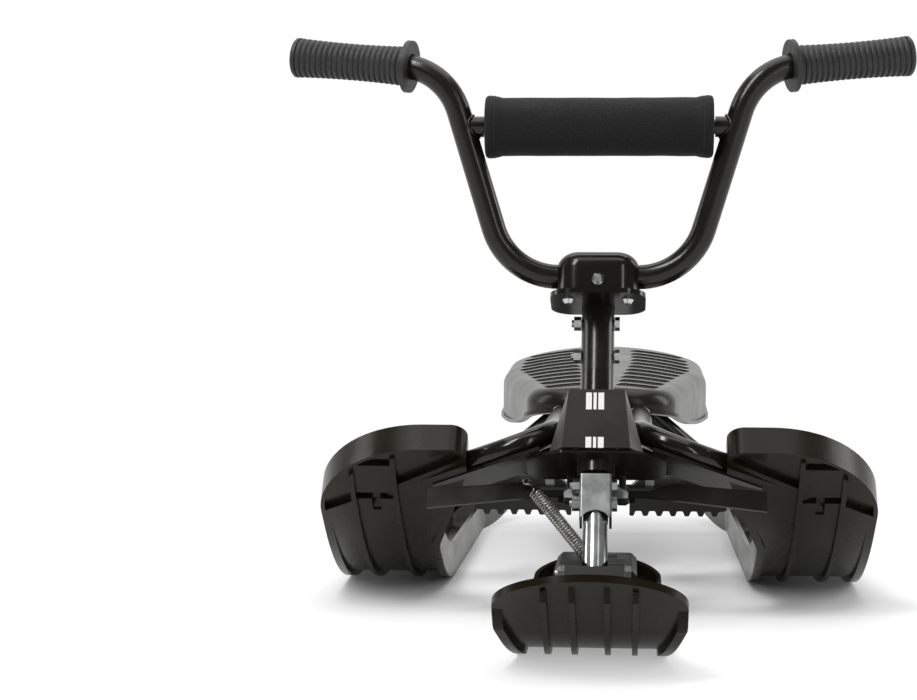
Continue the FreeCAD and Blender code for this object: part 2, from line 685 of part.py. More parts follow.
TAIL_PAST_SHARE = 1.15
TAIL_ANGLE = math.asin(size("ski_tail_run") / size("ski_tail_radius")) * TAIL_PAST_SHARE
SIDE_SOLE = Sole(CONTACT_Y, size("ski_flat"), size("ski_front_radius"), SLOPE, size("ski_slope"),
                 size("ski_tail_radius"), TAIL_ANGLE)
TIP_REACH_SHARE = 0.8
TAIL_REACH_SHARE = 0.72


def ski_clip(inset):
    """Everything inside the outline of a side ski, one half for each end."""
    outer = size("ski_center") + size("ski_width") / 2
    far = -2 * SKI_LENGTH
    tip = tip_outline(inset, TIP_REACH_SHARE, far, size("ski_slope"), size("ski_tip_sweep"), outer)
    tail = tip_outline(inset, TAIL_REACH_SHARE, TAIL_Y + far, TAIL_Y, size("ski_tail_sweep"), outer)
    middle = CONTACT_Y + size("ski_flat") / 2
    wide = 2 * size("ski_center")
    front_half = box((-wide, middle - SKI_LENGTH, -SKI_LENGTH), (wide, middle, SKI_LENGTH))
    rear_half = box((-wide, middle, -SKI_LENGTH), (wide, middle + SKI_LENGTH, SKI_LENGTH))
    front = thick(tip, 2 * SKI_LENGTH, SIDE_SOLE.slope_frame()).common(front_half)
    return front.fuse(thick(tail, 2 * SKI_LENGTH, Placement()).common(rear_half)).removeSplitter()


def on_slope(points, low, high):
    """A prism on an outline across the ski (x, up the slope) about the crossing of the rail end."""
    solid = prism(points, -high, -low)
    place = Vector(0, CONTACT_Y + arm_foot.y, arm_foot.z)
    solid.Placement = Placement(place, Rotation(ACROSS, 180 - size("arm_angle"))).multiply(solid.Placement)
    return solid


def slanted_strip(low, high, middle, half, shift):
    """Outline of a band along the rail end, from one place across the sled to another."""
    slant = math.tan(math.radians(size("arm_slant")))
    reach = half * math.hypot(1, slant)
    near, far = shift - (low - middle) * slant, shift - (high - middle) * slant
    return [(low, near - reach, 0), (high, far - reach, 0), (high, far + reach, 0), (low, near + reach, 0)]


def upright_strip(middle, half, low, high):
    left, right = middle - half, middle + half
    return [(left, low, 0), (right, low, 0), (right, high, 0), (left, high, 0)]


def side_ski_shape():
    """The side ski on the rider's left."""
    middle = size("ski_center")
    half = size("ski_width") / 2
    spread = half + size("ski_inner_flare") + size("overrun")
    left, right = middle - spread, middle + spread
    sheet = size("ski_sheet")
    past = size("overrun")
    outside = ski_clip(0)
    inside = ski_clip(size("ski_wall"))
    ski = SIDE_SOLE.band(0, size("ski_wall_height"), left, right).common(outside)
    ski = ski.cut(SIDE_SOLE.band(sheet, size("ski_wall_height") + past, left, right).common(inside))
    ridge, bore, socket = arm_socket()
    ski = ski.fuse(ridge.common(outside))

    # band, pocket and slot under the tip, each with a raised cover
    depth, cover = size("recess_depth"), size("recess_cover")
    lid = SIDE_SOLE.band(sheet / 2, depth + cover, left, right).common(outside)
    skin = SIDE_SOLE.band(-past, depth, left, right).common(inside)
    tall = size("ski_wall_height")
    for points in recesses(cover):
        ski = ski.fuse(on_slope(points, -tall, tall).common(lid))
    for points in recesses(0):
        ski = ski.cut(on_slope(points, -tall, tall).common(skin).cut(socket))
    ski = ski.cut(bore)

    # runners under the sole
    depth = size("runner_height")
    within = ski_clip(size("runner_width"))
    ring = outside.cut(within)
    limit = box((left, CONTACT_Y - 2 * SKI_LENGTH, -depth),
                (right, TAIL_Y - size("ski_tail_sweep") / 2, SKI_LENGTH))
    edge_room = runner_room(SIDE_SOLE, CONTACT_Y, size("ski_runner_fade")).common(limit)
    rib_room = runner_room(SIDE_SOLE, CONTACT_Y, size("ski_rib_fade")).common(within)
    ski = ski.fuse(SIDE_SOLE.band(-depth, 0, left, right).common(ring).common(edge_room))
    for side in (-1, 1):
        center = middle + side * size("rib_offset")
        rib = SIDE_SOLE.band(-depth, 0, center - size("rib_width") / 2, center + size("rib_width") / 2)
        ski = ski.fuse(rib.common(rib_room))

    # channel walls and ladder ribs on the upper side
    inner = ski_clip(size("ski_wall") / 2)
    steep = math.hypot(1, math.tan(math.radians(size("arm_slant"))))
    below_ridge = on_slope(slanted_strip(left, right, middle, SKI_LENGTH, -SKI_LENGTH * steep),
                           -SKI_LENGTH, SKI_LENGTH)
    limit = box((left, CONTACT_Y - 2 * SKI_LENGTH, 0),
                (right, strut_bend_start() - size("free_gap"), SKI_LENGTH))
    rungs = int((size("ski_front_radius") * ARM_TURN - size("ridge_width")) / size("ladder_pitch"))
    for side in (-1, 1):
        center = middle + side * size("channel_offset")
        wall = SIDE_SOLE.band(sheet / 2, sheet + size("channel_height"), center - size("channel_wall") / 2,
                              center + size("channel_wall") / 2)
        ski = ski.fuse(wall.common(limit).common(below_ridge).cut(bore))
        start = size("channel_offset") if side > 0 else -size("channel_offset") - spread
        for index in range(rungs):
            place, angle = SIDE_SOLE.front_station((index + 0.5) * size("ladder_pitch"))
            rung = Part.makeBox(spread, size("channel_wall"), sheet / 2 + size("ladder_height"))
            rung.translate(Vector(start, 0, sheet / 2))
            turn = Placement(place + ACROSS * middle, Rotation(ACROSS, -math.degrees(angle)))
            rung.Placement = turn.multiply(rung.Placement)
            ski = ski.fuse(rung.common(inner).common(below_ridge).cut(bore))

    # holes for the screws of the strut foot
    for spot in strut_screw_spots():
        ski = ski.cut(bar(Vector(spot.x, spot.y, 0), UP, size("screw_diameter") / 2 + size("joint_gap"),
                          size("ski_wall_height")))
    return ski.removeSplitter()


def arm_socket():
    """The moulded ridge across the slope, the bore for the rail end in it and the wall round the bore."""
    middle = size("ski_center")
    low = middle - size("ski_width") / 2 - size("ski_inner_flare")
    high = middle + size("arm_past") + size("ridge_cover") * 2
    top = arm_height + RAIL_RADIUS + size("ridge_cover")
    ridge = prism(slanted_strip(low, high, middle, size("ridge_width") / 2, 0), -top, -size("ski_sheet") / 2)
    upper_edges = [edge for edge in ridge.Edges if ridge_edge(edge, top)]
    ridge = ridge.makeChamfer(size("ridge_cover") * 2, upper_edges)
    place = Vector(0, CONTACT_Y + arm_foot.y, arm_foot.z)
    ridge.Placement = Placement(place, Rotation(ACROSS, 180 - size("arm_angle"))).multiply(ridge.Placement)
    way = Vector(ARM_WAY).normalize()
    center = Vector(middle, CONTACT_Y + arm_crossing.y, arm_crossing.z)
    end = center + ARM_WAY * (size("arm_past") + size("joint_gap"))
    bore = bar(end, -way, RAIL_RADIUS + SOCKET_CLEARANCE / 2, SKI_LENGTH)
    socket = bar(end, -way, RAIL_RADIUS + size("ridge_cover"), SKI_LENGTH)
    return ridge, bore, socket


def recesses(grow):
    """Outlines under the tip of a side ski, moved out by grow: the band, the ends of the pocket, the slot."""
    middle = size("ski_center")
    spread = size("ski_width") / 2 + size("ski_inner_flare") + size("overrun")
    low = size("pocket_shift") - size("pocket_length") / 2
    high = low + size("pocket_length")
    end = size("pocket_end")
    half = size("rib_offset") - size("rib_width") / 2
    outlines = []
    outer = size("rib_offset") + size("rib_width") / 2 - grow
    for left, right in ((middle - spread, middle - outer), (middle + outer, middle + spread)):
        outlines.append(slanted_strip(left, right, middle, size("recess_width") / 2 + grow, size("recess_shift")))
    for start, stop in ((low, low + end), (high - end, high)):
        outlines.append(upright_strip(middle, half + grow, start - grow, stop + grow))
    outlines.append(upright_strip(middle, size("pocket_slot_width") / 2 + grow,
                                  low - size("pocket_slot_length") - grow, low))
    return outlines


def ridge_edge(edge, top):
    """True for the two long upper edges of the ridge."""
    ends = [vertex.Point for vertex in edge.Vertexes]
    level = all(abs(point.z + top) < size("joint_gap") for point in ends)
    return level and abs(ends[0].x - ends[1].x) > size("ridge_width")


def strut_corner():
    """Where the sloping part of a strut and its foot would meet."""
    foot_z = GROUND_TO_SOLE + size("ski_sheet") + size("joint_gap") + RAIL_RADIUS
    return Vector(size("ski_center"), CONTACT_Y + size("ski_flat") + size("strut_corner_back"), foot_z)


def strut_screw_spots():
    """Where the screws go through the foot of a strut."""
    corner = strut_corner()
    spot_shares = (0.45, 0.85)
    return [corner - ALONG * size("strut_foot") * share + UP * RAIL_RADIUS for share in spot_shares]


def make_side_skis():
    ski = node("ski_left", feature("ski_left", side_ski_shape()))
    node("ski_right", mirrored("ski_right", ski))


# Frame: rails, struts, bridges

def rail_corners():
    """Corners of a rail: under the seat, at the head and in the ski."""
    corner = Vector(size("rail_offset"), RAIL_CORNER_Y, RAIL_Z)
    end = corner + ARM_WAY * (size("ski_center") - size("rail_offset") + size("arm_past"))
    rear = corner + ALONG * size("rail_rear")
    return [(rear, 0), (corner, size("rail_bend")), (end, 0)]


def make_rails():
    rail = bent_tube(rail_corners(), "rail_tube", "rail_wall")
    rail = node("main_rail_left", feature("main_rail_left", rail))
    node("main_rail_right", mirrored("main_rail_right", rail))


def strut_bridge_top():
    return RAIL_Z - RAIL_RADIUS - size("joint_gap")


def strut_corners():
    """Corners of a strut: above its bridge, at the ski and at the front end of its foot."""
    corner = strut_corner()
    bridge_low = strut_bridge_top() - size("bridge_sheet")
    top = Vector(size("strut_top_offset"), corner.y - size("strut_lean"), bridge_low)
    over = top + (top - corner).normalize() * size("rail_tube")
    return [(over, 0), (corner, size("strut_bend")), (corner - ALONG * size("strut_foot"), 0)]


def strut_bend_start():
    """Where the bend of a strut begins, behind its straight foot."""
    (over, _), (corner, radius), (foot, _) = strut_corners()
    half = (over - corner).getAngle(foot - corner) / 2
    return corner.y - radius / math.tan(half)


def strut_shape():
    tube = bent_tube(strut_corners(), "rail_tube", "rail_wall")
    top = strut_bridge_top() - size("bridge_sheet") - size("joint_gap")
    room = box((-SKI_LENGTH, -SKI_LENGTH, 0), (SKI_LENGTH, SKI_LENGTH, top))
    tube = tube.common(room)
    for spot in strut_screw_spots():
        tube = tube.cut(bar(spot + UP * size("overrun"), -UP, size("screw_diameter") / 2 + size("joint_gap"),
                            size("rail_tube") + 2 * size("overrun")))
    return tube


def make_struts():
    strut = node("rear_strut_left", feature("rear_strut_left", strut_shape()))
    node("rear_strut_right", mirrored("rear_strut_right", strut))
    screws = []
    for index, spot in enumerate(strut_screw_spots()):
        for side, word in ((1, "left"), (-1, "right")):
            seat = Vector(spot.x * side, spot.y, spot.z + size("joint_gap"))
            screws.append(pan_screw("strut_screw_%s_%d" % (word, index), seat, -UP,
                                    "rail_tube + ski_sheet"))
    node("strut_screws", group("strut_screws", screws))


def bridge(label, middle_y, low_z, overhang, holes=()):
    """A flat plate across the two rails."""
    half_x = size("rail_offset") + size(overhang)
    half_y = size("bridge_length") / 2
    corner = half_y / 4
    points = [(-half_x, -half_y, corner), (half_x, -half_y, corner), (half_x, half_y, corner),
              (-half_x, half_y, corner)]
    thing = plate(label, points, "bridge_sheet", holes)
    thing.Placement = Placement(Vector(0, middle_y, low_z), Rotation())
    return node(label, thing)


# Seat: crowned shell on two bridges

SEAT_NOSE = RAIL_CORNER_Y + size("seat_nose_back")
SEAT_RIM = RAIL_Z + size("seat_rim_rise")
STRUT_TOP_Y = strut_corner().y - size("strut_lean")
BRIDGE_ROWS = (SEAT_NOSE + size("front_bridge_back"), STRUT_TOP_Y)
BRIDGE_TOP = RAIL_Z + RAIL_RADIUS + size("joint_gap") + size("bridge_sheet")


def seat_outline(grow):
    """Corners of the seat seen from above, moved out by grow."""
    rear = SEAT_NOSE + size("seat_length") + grow
    nose = SEAT_NOSE - grow
    wide = size("seat_half_width") + grow
    tip = size("seat_nose_half") + grow
    taper = SEAT_NOSE + size("seat_taper")
    half = [(tip, nose, size("seat_nose_round") + grow), (wide, taper, size("seat_side_round") + grow),
            (wide, rear, size("seat_rear_round") + grow)]
    return half + [(-x, y, radius) for x, y, radius in reversed(half)]


def above_rim(lift):
    """Everything above the curved rim of the seat, raised by lift."""
    nose = Vector(0, SEAT_NOSE, SEAT_RIM + lift)
    belly = nose + ALONG * size("seat_taper") - UP * size("seat_belly")
    tail = nose + ALONG * size("seat_length") + UP * size("seat_tail_lift")
    rim = Part.Circle(nose, belly, tail)
    wide = 2 * size("seat_half_width")
    return bar(rim.Center - ACROSS * wide, ACROSS, rim.Radius, 2 * wide)


def seat_crown(drop):
    """Everything under the crowned top of the seat, lowered by drop."""
    pitch = math.radians(size("seat_pitch"))
    way = Vector(0, math.cos(pitch), math.sin(pitch))
    top = Vector(0, SEAT_NOSE, SEAT_RIM + size("seat_nose_height"))
    base = top - UP * (size("seat_crown")) - way * size("seat_length")
    return bar(base, way, size("seat_crown") - drop, 3 * size("seat_length"))


def shoulder(solid, radius, level):
    """Round the upper outline of a seat solid."""
    edges = [edge for edge in solid.Edges if min(v.Z for v in edge.Vertexes) > level]
    return solid.makeFillet(radius, edges)


def flutes():
    """The slanted flutes of the seat, as tall tools."""
    tools = []
    half = size("flute_width") / 2
    slant = math.tan(math.radians(size("flute_slant")))
    room = size("seat_length") - size("flute_start") - size("seat_rear_round") / 2
    for index in range(int(room / size("flute_pitch")) + 1):
        middle = SEAT_NOSE + size("flute_start") + index * size("flute_pitch")
        share = min((middle - SEAT_NOSE) / size("seat_taper"), 1)
        side = size("seat_nose_half") + (size("seat_half_width") - size("seat_nose_half")) * share
        left_over = SEAT_NOSE + size("seat_length") - middle
        if left_over < size("seat_rear_round"):
            drop = size("seat_rear_round") - left_over
            side -= size("seat_rear_round") - math.sqrt(size("seat_rear_round") ** 2 - drop ** 2)
        inner = size("flute_inner") + (size("flute_inner_rear") - size("flute_inner")) * share
        outer = side - size("flute_margin")
        if outer - inner <= 2 * size("flute_corner"):
            continue
        for sign in (-1, 1):
            start = Vector(inner * sign, middle, SEAT_RIM)
            end = Vector(outer * sign, middle - (outer - inner) * slant, SEAT_RIM)
            across = UP.cross((end - start).normalize()) * half
            corners = [(spot, size("flute_corner")) for spot in (start + across, end + across, end - across,
                                                                 start - across)]
            wire = Part.Wire([edge.toShape() for edge in rounded_edges(corners)])
            tools.append(Part.Face(wire).extrude(UP * size("seat_length")))
    return tools


def seat_boss_spots():
    return [(x * size("seat_boss_offset"), y) for y in BRIDGE_ROWS for x in (-1, 1)]


def seat_shape():
    tall = SEAT_RIM + size("seat_length")
    low = SEAT_RIM - 2 * size("seat_belly")
    wall = size("seat_wall")
    shell = prism(seat_outline(0), low, tall).common(seat_crown(0))
    shell = shoulder(shell, size("seat_shoulder"), SEAT_RIM)
    hollow = prism(seat_outline(-wall), low, tall).common(seat_crown(wall))
    hollow = shoulder(hollow, size("seat_shoulder") - wall, SEAT_RIM)
    shell = shell.cut(hollow).common(above_rim(0))
    lip = prism(seat_outline(size("seat_lip")), low, tall).cut(prism(seat_outline(-wall), low, tall))
    shell = shell.fuse(lip.common(above_rim(0)).cut(above_rim(size("seat_lip_height"))))
    groove_floor = seat_crown(size("flute_depth"))
    for tool in flutes():
        shell = shell.cut(tool.cut(groove_floor))
    base = BRIDGE_TOP + size("joint_gap")
    for x, y in seat_boss_spots():
        boss = bar(Vector(x, y, base), UP, size("seat_boss") / 2, size("seat_length"))
        hole = bar(Vector(x, y, base), UP, size("screw_diameter") / 2 + size("joint_gap"),
                   size("seat_boss") / 2 + size("joint_gap"))
        shell = shell.fuse(boss.common(seat_crown(wall / 2))).cut(hole)

    # notches where the rails enter under the nose
    for side in (-1, 1):
        start = Vector(side * size("rail_offset"), SEAT_NOSE - size("seat_lip") * 2, RAIL_Z)
        notch = bar(start, ALONG, RAIL_RADIUS + size("free_gap"), size("seat_taper") / 2)
        drop = box((start.x - RAIL_RADIUS - size("free_gap"), start.y, low),
                   (start.x + RAIL_RADIUS + size("free_gap"), start.y + size("seat_taper") / 2, RAIL_Z))
        shell = shell.cut(notch.fuse(drop))
    return shell.removeSplitter()


def make_seat():
    node("seat_shell", feature("seat_shell", seat_shape()))
    low = BRIDGE_TOP - size("bridge_sheet")
    hole = size("screw_diameter") / 2 + size("joint_gap")
    holes = [(x * size("seat_boss_offset"), 0, hole) for x in (-1, 1)]
    bridge("seat_bridge_front", BRIDGE_ROWS[0], low, "front_bridge_overhang", holes)
    bridge("seat_bridge_rear", BRIDGE_ROWS[1], low, "bridge_overhang", holes)
    bridge("strut_bridge", STRUT_TOP_Y, strut_bridge_top() - size("bridge_sheet"), "bridge_overhang")
    screws = [pan_screw("seat_screw_%d" % index, Vector(x, y, low - size("joint_gap")), UP,
                        "bridge_sheet + seat_boss / 2")
              for index, (x, y) in enumerate(seat_boss_spots())]
    node("seat_screws", group("seat_screws", screws))


# Head: tube, bushes, gusset, cover and cross plate

def make_head():
    tube = pipe("head_tube", "head_tube / 2", "(head_tube - head_bore) / 2", "head_up + head_down",
                steer_point(0, 0, -size("head_down")), AXIS)
    node("head_tube", tube)

    sleeve = "head_bore / 2 - running_fit"
    hole = "steering_tube / 2 + running_fit"
    low_start = -size("head_down") - size("bush_flange_height")
    skirt_start = low_start - size("bush_skirt_height")
    low_body = fuse("lower_bush_body", [
        steer_rod("lower_bush_flange", "bush_flange / 2", "bush_flange_height - joint_gap", low_start),
        steer_rod("lower_bush_skirt", "bush_skirt / 2", "bush_skirt_height", skirt_start),
        steer_rod("lower_bush_sleeve", sleeve, "bush_flange_height + bush_length", low_start)])
    low_hole = steer_rod("lower_bush_hole", hole, "bush_skirt_height + bush_flange_height + bush_length",
                         skirt_start)
    node("head_bush_lower", cut("head_bush_lower", low_body, low_hole))
    high_start = size("head_up") - size("bush_length")
    collar_start = size("head_up") + size("joint_gap")
    high_body = fuse("upper_bush_body", [
        steer_rod("upper_bush_collar", "column_tube / 2", "bush_collar_height", collar_start),
        steer_rod("upper_bush_sleeve", sleeve, "bush_length + joint_gap", high_start)])
    high_hole = steer_rod("upper_bush_hole", hole, "bush_collar_height + bush_length + joint_gap", high_start)
    node("head_bush_upper", cut("head_bush_upper", high_body, high_hole))
    node("head_gusset", feature("head_gusset", gusset_shape()))
    node("head_cover", feature("head_cover", head_cover_shape()))
    make_cross_plate()


def gusset_shape():
    """A folded channel between the rails, fitted round the back of the head tube."""
    half = size("rail_offset") - RAIL_RADIUS - size("joint_gap")
    sheet = size("bridge_sheet")
    nose, tail = RAIL_Z + size("gusset_nose"), RAIL_Z + size("gusset_tail")
    low = RAIL_Z - size("gusset_drop")
    front, back = HEAD_Y, HEAD_Y + size("gusset_back")
    outline = [(front, low, 0), (front, nose, 0), (back, tail, 0), (back, low, 0)]
    inside = [(front - sheet, low - sheet, 0), (front - sheet, nose - sheet, 0),
              (back + sheet, tail - sheet, 0), (back + sheet, low - sheet, 0)]
    channel = side_prism(outline, half).cut(side_prism(inside, half - sheet))
    tube_room = bar(steer_point(0, 0, -size("head_down") * 2), AXIS,
                    size("head_tube") / 2 + size("joint_gap"), size("head_down") * 4)
    ahead = box((-half - sheet, -half * 2, -size("head_down") * 2), (half + sheet, 0, size("head_up") * 2))
    ahead.Placement = STEER
    cover_room = box((-half * 2, -half * 2, -size("head_down") * 2),
                     (half * 2, size("cover_back") + size("free_gap"), size("head_up") * 2))
    cover_room = cover_room.cut(box((-size("head_tube") / 2, -half * 2, -size("head_down") * 2),
                                    (size("head_tube") / 2, size("cover_back") * 2, size("head_up") * 2)))
    cover_room.Placement = STEER
    return channel.cut(tube_room).cut(ahead).cut(cover_room)


def cover_section(up, width, inset, back):
    """One level of the head cover: a hexagon with bevelled front corners."""
    half = width / 2 - inset
    share = (width - size("cover_top_width")) / (size("cover_bottom_width") - size("cover_top_width"))
    face = (size("cover_face_top") + (size("cover_face_bottom") - size("cover_face_top")) * share) / 2 - inset
    front = -size("cover_front") + inset
    side = front + size("cover_bevel")
    points = [(-face, front), (face, front), (half, side), (half, back), (-half, back), (-half, side)]
    dots = [Vector(x, y, up) for x, y in points]
    return Part.makePolygon(dots + dots[:1])


def head_cover_shape():
    wall = size("cover_wall")
    top, low = size("cover_up"), -size("cover_down")
    wide, narrow = size("cover_bottom_width"), size("cover_top_width")
    back = size("cover_back")
    ends = [cover_section(low, wide, 0, back), cover_section(top, narrow, 0, back)]
    outside = Part.makeLoft(ends, True, True)
    past = size("overrun")
    slope_share = (wide - narrow) / (top - low)
    under = low - past
    inner_top = top - wall
    inside = Part.makeLoft([
        cover_section(under, wide + past * slope_share, wall, back + past),
        cover_section(inner_top, narrow + wall * slope_share, wall, back + past)], True, True)
    column = bar(UP * (top - wall - past), UP, size("column_tube") / 2 + size("free_gap"), past * 3)
    cover = outside.cut(inside).cut(column)
    cover.Placement = STEER

    # notches for the rails
    path = Part.Wire([edge.toShape() for edge in rounded_edges(rail_corners(), closed=False)])
    notch = swept(path, RAIL_RADIUS + size("free_gap"))
    cover = cover.cut(notch).cut(notch.mirror(ORIGIN, ACROSS))
    return sorted(cover.Solids, key=lambda solid: solid.Volume)[-1]


def make_cross_plate():
    """The plate under the head and the rail ends, with the cross member hung from it by two bolts."""
    sheet = size("bridge_sheet")
    top = -size("cover_down") - size("joint_gap")
    bolt_back = size("member_back") + size("bolt_across") / 2
    hole = size("bolt_diameter") / 2 + size("joint_gap")
    node("cross_plate", feature("cross_plate", cross_plate_shape(top, bolt_back, hole)))

    low = top - sheet - size("member_drop")
    bolts = []
    for side, word in ((1, "left"), (-1, "right")):
        seat = steer_point(side * size("cross_bolt_offset"), bolt_back, low - sheet - size("joint_gap"))
        bolts.append(hex_bolt("cross_bolt_" + word, seat, AXIS, "bolt_diameter",
                              "member_drop + bridge_sheet + joint_gap", "bolt_across", "bolt_head_height"))
    node("cross_bolts", group("cross_bolts", bolts))
    node("cross_member", feature("cross_member", cross_member_shape(low, bolt_back, hole)))


def cross_plate_shape(top, bolt_back, hole):
    """A sheet square to the steering axis with a wing under each rail end."""
    sheet = size("bridge_sheet")
    half, front, back = size("plate_half_width"), -size("plate_front"), size("plate_back")
    edge = half / 2
    body = prism([(-edge, front, sheet), (edge, front, sheet), (half, front + edge / 2, sheet),
                  (half, back, edge / 2), (-half, back, edge / 2), (-half, front + edge / 2, sheet)],
                 top - sheet, top)
    body = body.cut(bar(UP * (top - sheet), UP, size("bush_flange") / 2 + size("joint_gap"), sheet))
    for side in (-1, 1):
        spot = Vector(side * size("cross_bolt_offset"), bolt_back, top - sheet)
        body = body.cut(bar(spot, UP, hole, sheet))
    body.Placement = STEER
    corner = Vector(size("rail_offset"), RAIL_CORNER_Y, RAIL_Z)
    normal = ARM_WAY.cross(BACK).normalize()
    under = normal * -(RAIL_RADIUS + size("joint_gap"))
    reach = size("ski_center") - size("ski_width") / 2
    start = corner + ARM_WAY * (size("wing_inner") - size("rail_offset")) + under
    end = corner + ARM_WAY * (reach - size("rail_offset")) + under
    ahead, behind = BACK * -size("wing_front"), BACK * size("wing_back")
    dots = [start + ahead, end + ahead, end + behind, start + behind, start + ahead]
    wing = Part.Face(Part.makePolygon(dots)).extrude(normal * -sheet)
    ski = NODES["ski_left"].Shape
    wing = sorted(wing.cut(ski).Solids, key=lambda solid: solid.Volume)[-1]
    return body.fuse(wing).fuse(wing.mirror(ORIGIN, ACROSS)).removeSplitter()


MEMBER_UNDER_SHARE = 0.66
MEMBER_OVER_SHARE = 0.7


def cross_member_shape(top, bolt_back, hole):
    """A sheet bar from ski to ski: a web that faces forward, a flange for its bolts, a peg for the spring."""
    sheet = size("bridge_sheet")
    thin, deep = size("member_thin"), size("member_deep")
    step, rise, droop = size("member_step"), size("member_rise"), size("member_droop")
    reach = size("ski_center") - size("ski_width") / 2 + size("ski_wall") / 2
    right = [(step * MEMBER_UNDER_SHARE, -thin, thin * 2), (step, rise - deep, thin),
             (reach, rise - droop - size("member_end"), 0), (reach, rise - droop, 0), (step, rise, thin),
             (step * MEMBER_OVER_SHARE, 0, thin)]
    points = right + [(-x, z, radius) for x, z, radius in reversed(right)]
    web = prism(points, -sheet, 0)
    web.Placement = Placement(steer_point(0, size("member_back"), top),
                              Rotation(ACROSS, 90 - size("steering_rake")))
    flange_half = size("cross_bolt_offset") + size("bolt_across")
    flange = box((-flange_half, size("member_back") - sheet, top - sheet),
                 (flange_half, size("member_back") - sheet + size("member_flange"), top))
    flange.Placement = STEER
    member = web.fuse(flange)
    for side in (-1, 1):
        spot = steer_point(side * size("cross_bolt_offset"), bolt_back, top - 2 * sheet)
        member = member.cut(bar(spot, AXIS, hole, sheet * 3))
    upper, lower = spring_ends()
    peg = size("spring_wire")
    spot = upper + (upper - lower).normalize() * (peg + 2 * size("joint_gap")) - BACK * peg
    member = member.fuse(bar(spot, BACK, peg, size("spring_diameter") / 2 + size("free_gap") + sheet))
    for ski in (NODES["ski_left"].Shape, side_ski_mirror()):
        member = member.cut(ski)
    return sorted(member.Solids, key=lambda solid: solid.Volume)[-1]


def side_ski_mirror():
    return NODES["ski_left"].Shape.mirror(ORIGIN, ACROSS)


# Brake: bracket, axle and pedal

BRAKE_HINGE = Vector(0, RAIL_CORNER_Y + size("brake_hinge_back"), RAIL_Z - size("brake_hinge_drop"))


def barrel_half():
    return size("brake_arm_offset") + size("brake_arm_width") / 2


def make_brake():
    sheet = size("bridge_sheet")
    ear = barrel_half() + size("bracket_ear_gap")
    top = RAIL_Z - RAIL_RADIUS - size("joint_gap")
    half = size("bracket_length") / 2
    low = BRAKE_HINGE.z - size("brake_barrel") / 2
    wide = ear + sheet
    body = box((-wide, BRAKE_HINGE.y - half, top - sheet), (wide, BRAKE_HINGE.y + half, top))
    for side in (-1, 1):
        near, far = sorted((side * ear, side * wide))
        cheek = box((near, BRAKE_HINGE.y - half / 2, low), (far, BRAKE_HINGE.y + half / 2, top - sheet))
        body = body.fuse(cheek)
    hole_radius = size("brake_axle") / 2 + size("running_fit")
    hole = bar(BRAKE_HINGE - ACROSS * 2 * wide, ACROSS, hole_radius, 4 * wide)
    node("brake_bracket", feature("brake_bracket", body.cut(hole).removeSplitter()))

    length = "2 * (brake_arm_offset + brake_arm_width / 2 + bracket_ear_gap + bridge_sheet + joint_gap)"
    start = BRAKE_HINGE - ACROSS * (wide + size("joint_gap"))
    axle = [rod("brake_axle_shank", "brake_axle / 2", length, start, ACROSS)]
    for side, word in ((1, "left"), (-1, "right")):
        axle.append(rod("brake_axle_head_" + word, "brake_axle_head / 2", "screw_head_height",
                        BRAKE_HINGE + ACROSS * side * (wide + size("joint_gap")), ACROSS * side))
    node("brake_axle", fuse("brake_axle", axle))
    node("brake_pedal", feature("brake_pedal", brake_pedal_shape()))


TEETH = 7
TOOTH_SHARES = ((0.3, 0), (0.45, 1), (0.85, 1), (1, 0))


def toothed_outline():
    """Half outlines of the flange: two rows of teeth and the arch between them; Y points down."""
    half, gap = size("brake_half_width"), size("brake_gap") / 2
    deep, tooth = size("brake_flange_height"), size("tooth_height")
    pitch = (half - gap) / TEETH
    right = [(gap, deep - size("brake_arch"), tooth), (gap, deep, tooth / 4)]
    for index in range(TEETH):
        for across, notch in TOOTH_SHARES:
            right.append((gap + (index + across) * pitch, deep - tooth * notch, tooth / 4))
    right += [(half, 0, 0)]
    return right + [(-x, y, radius) for x, y, radius in reversed(right)]


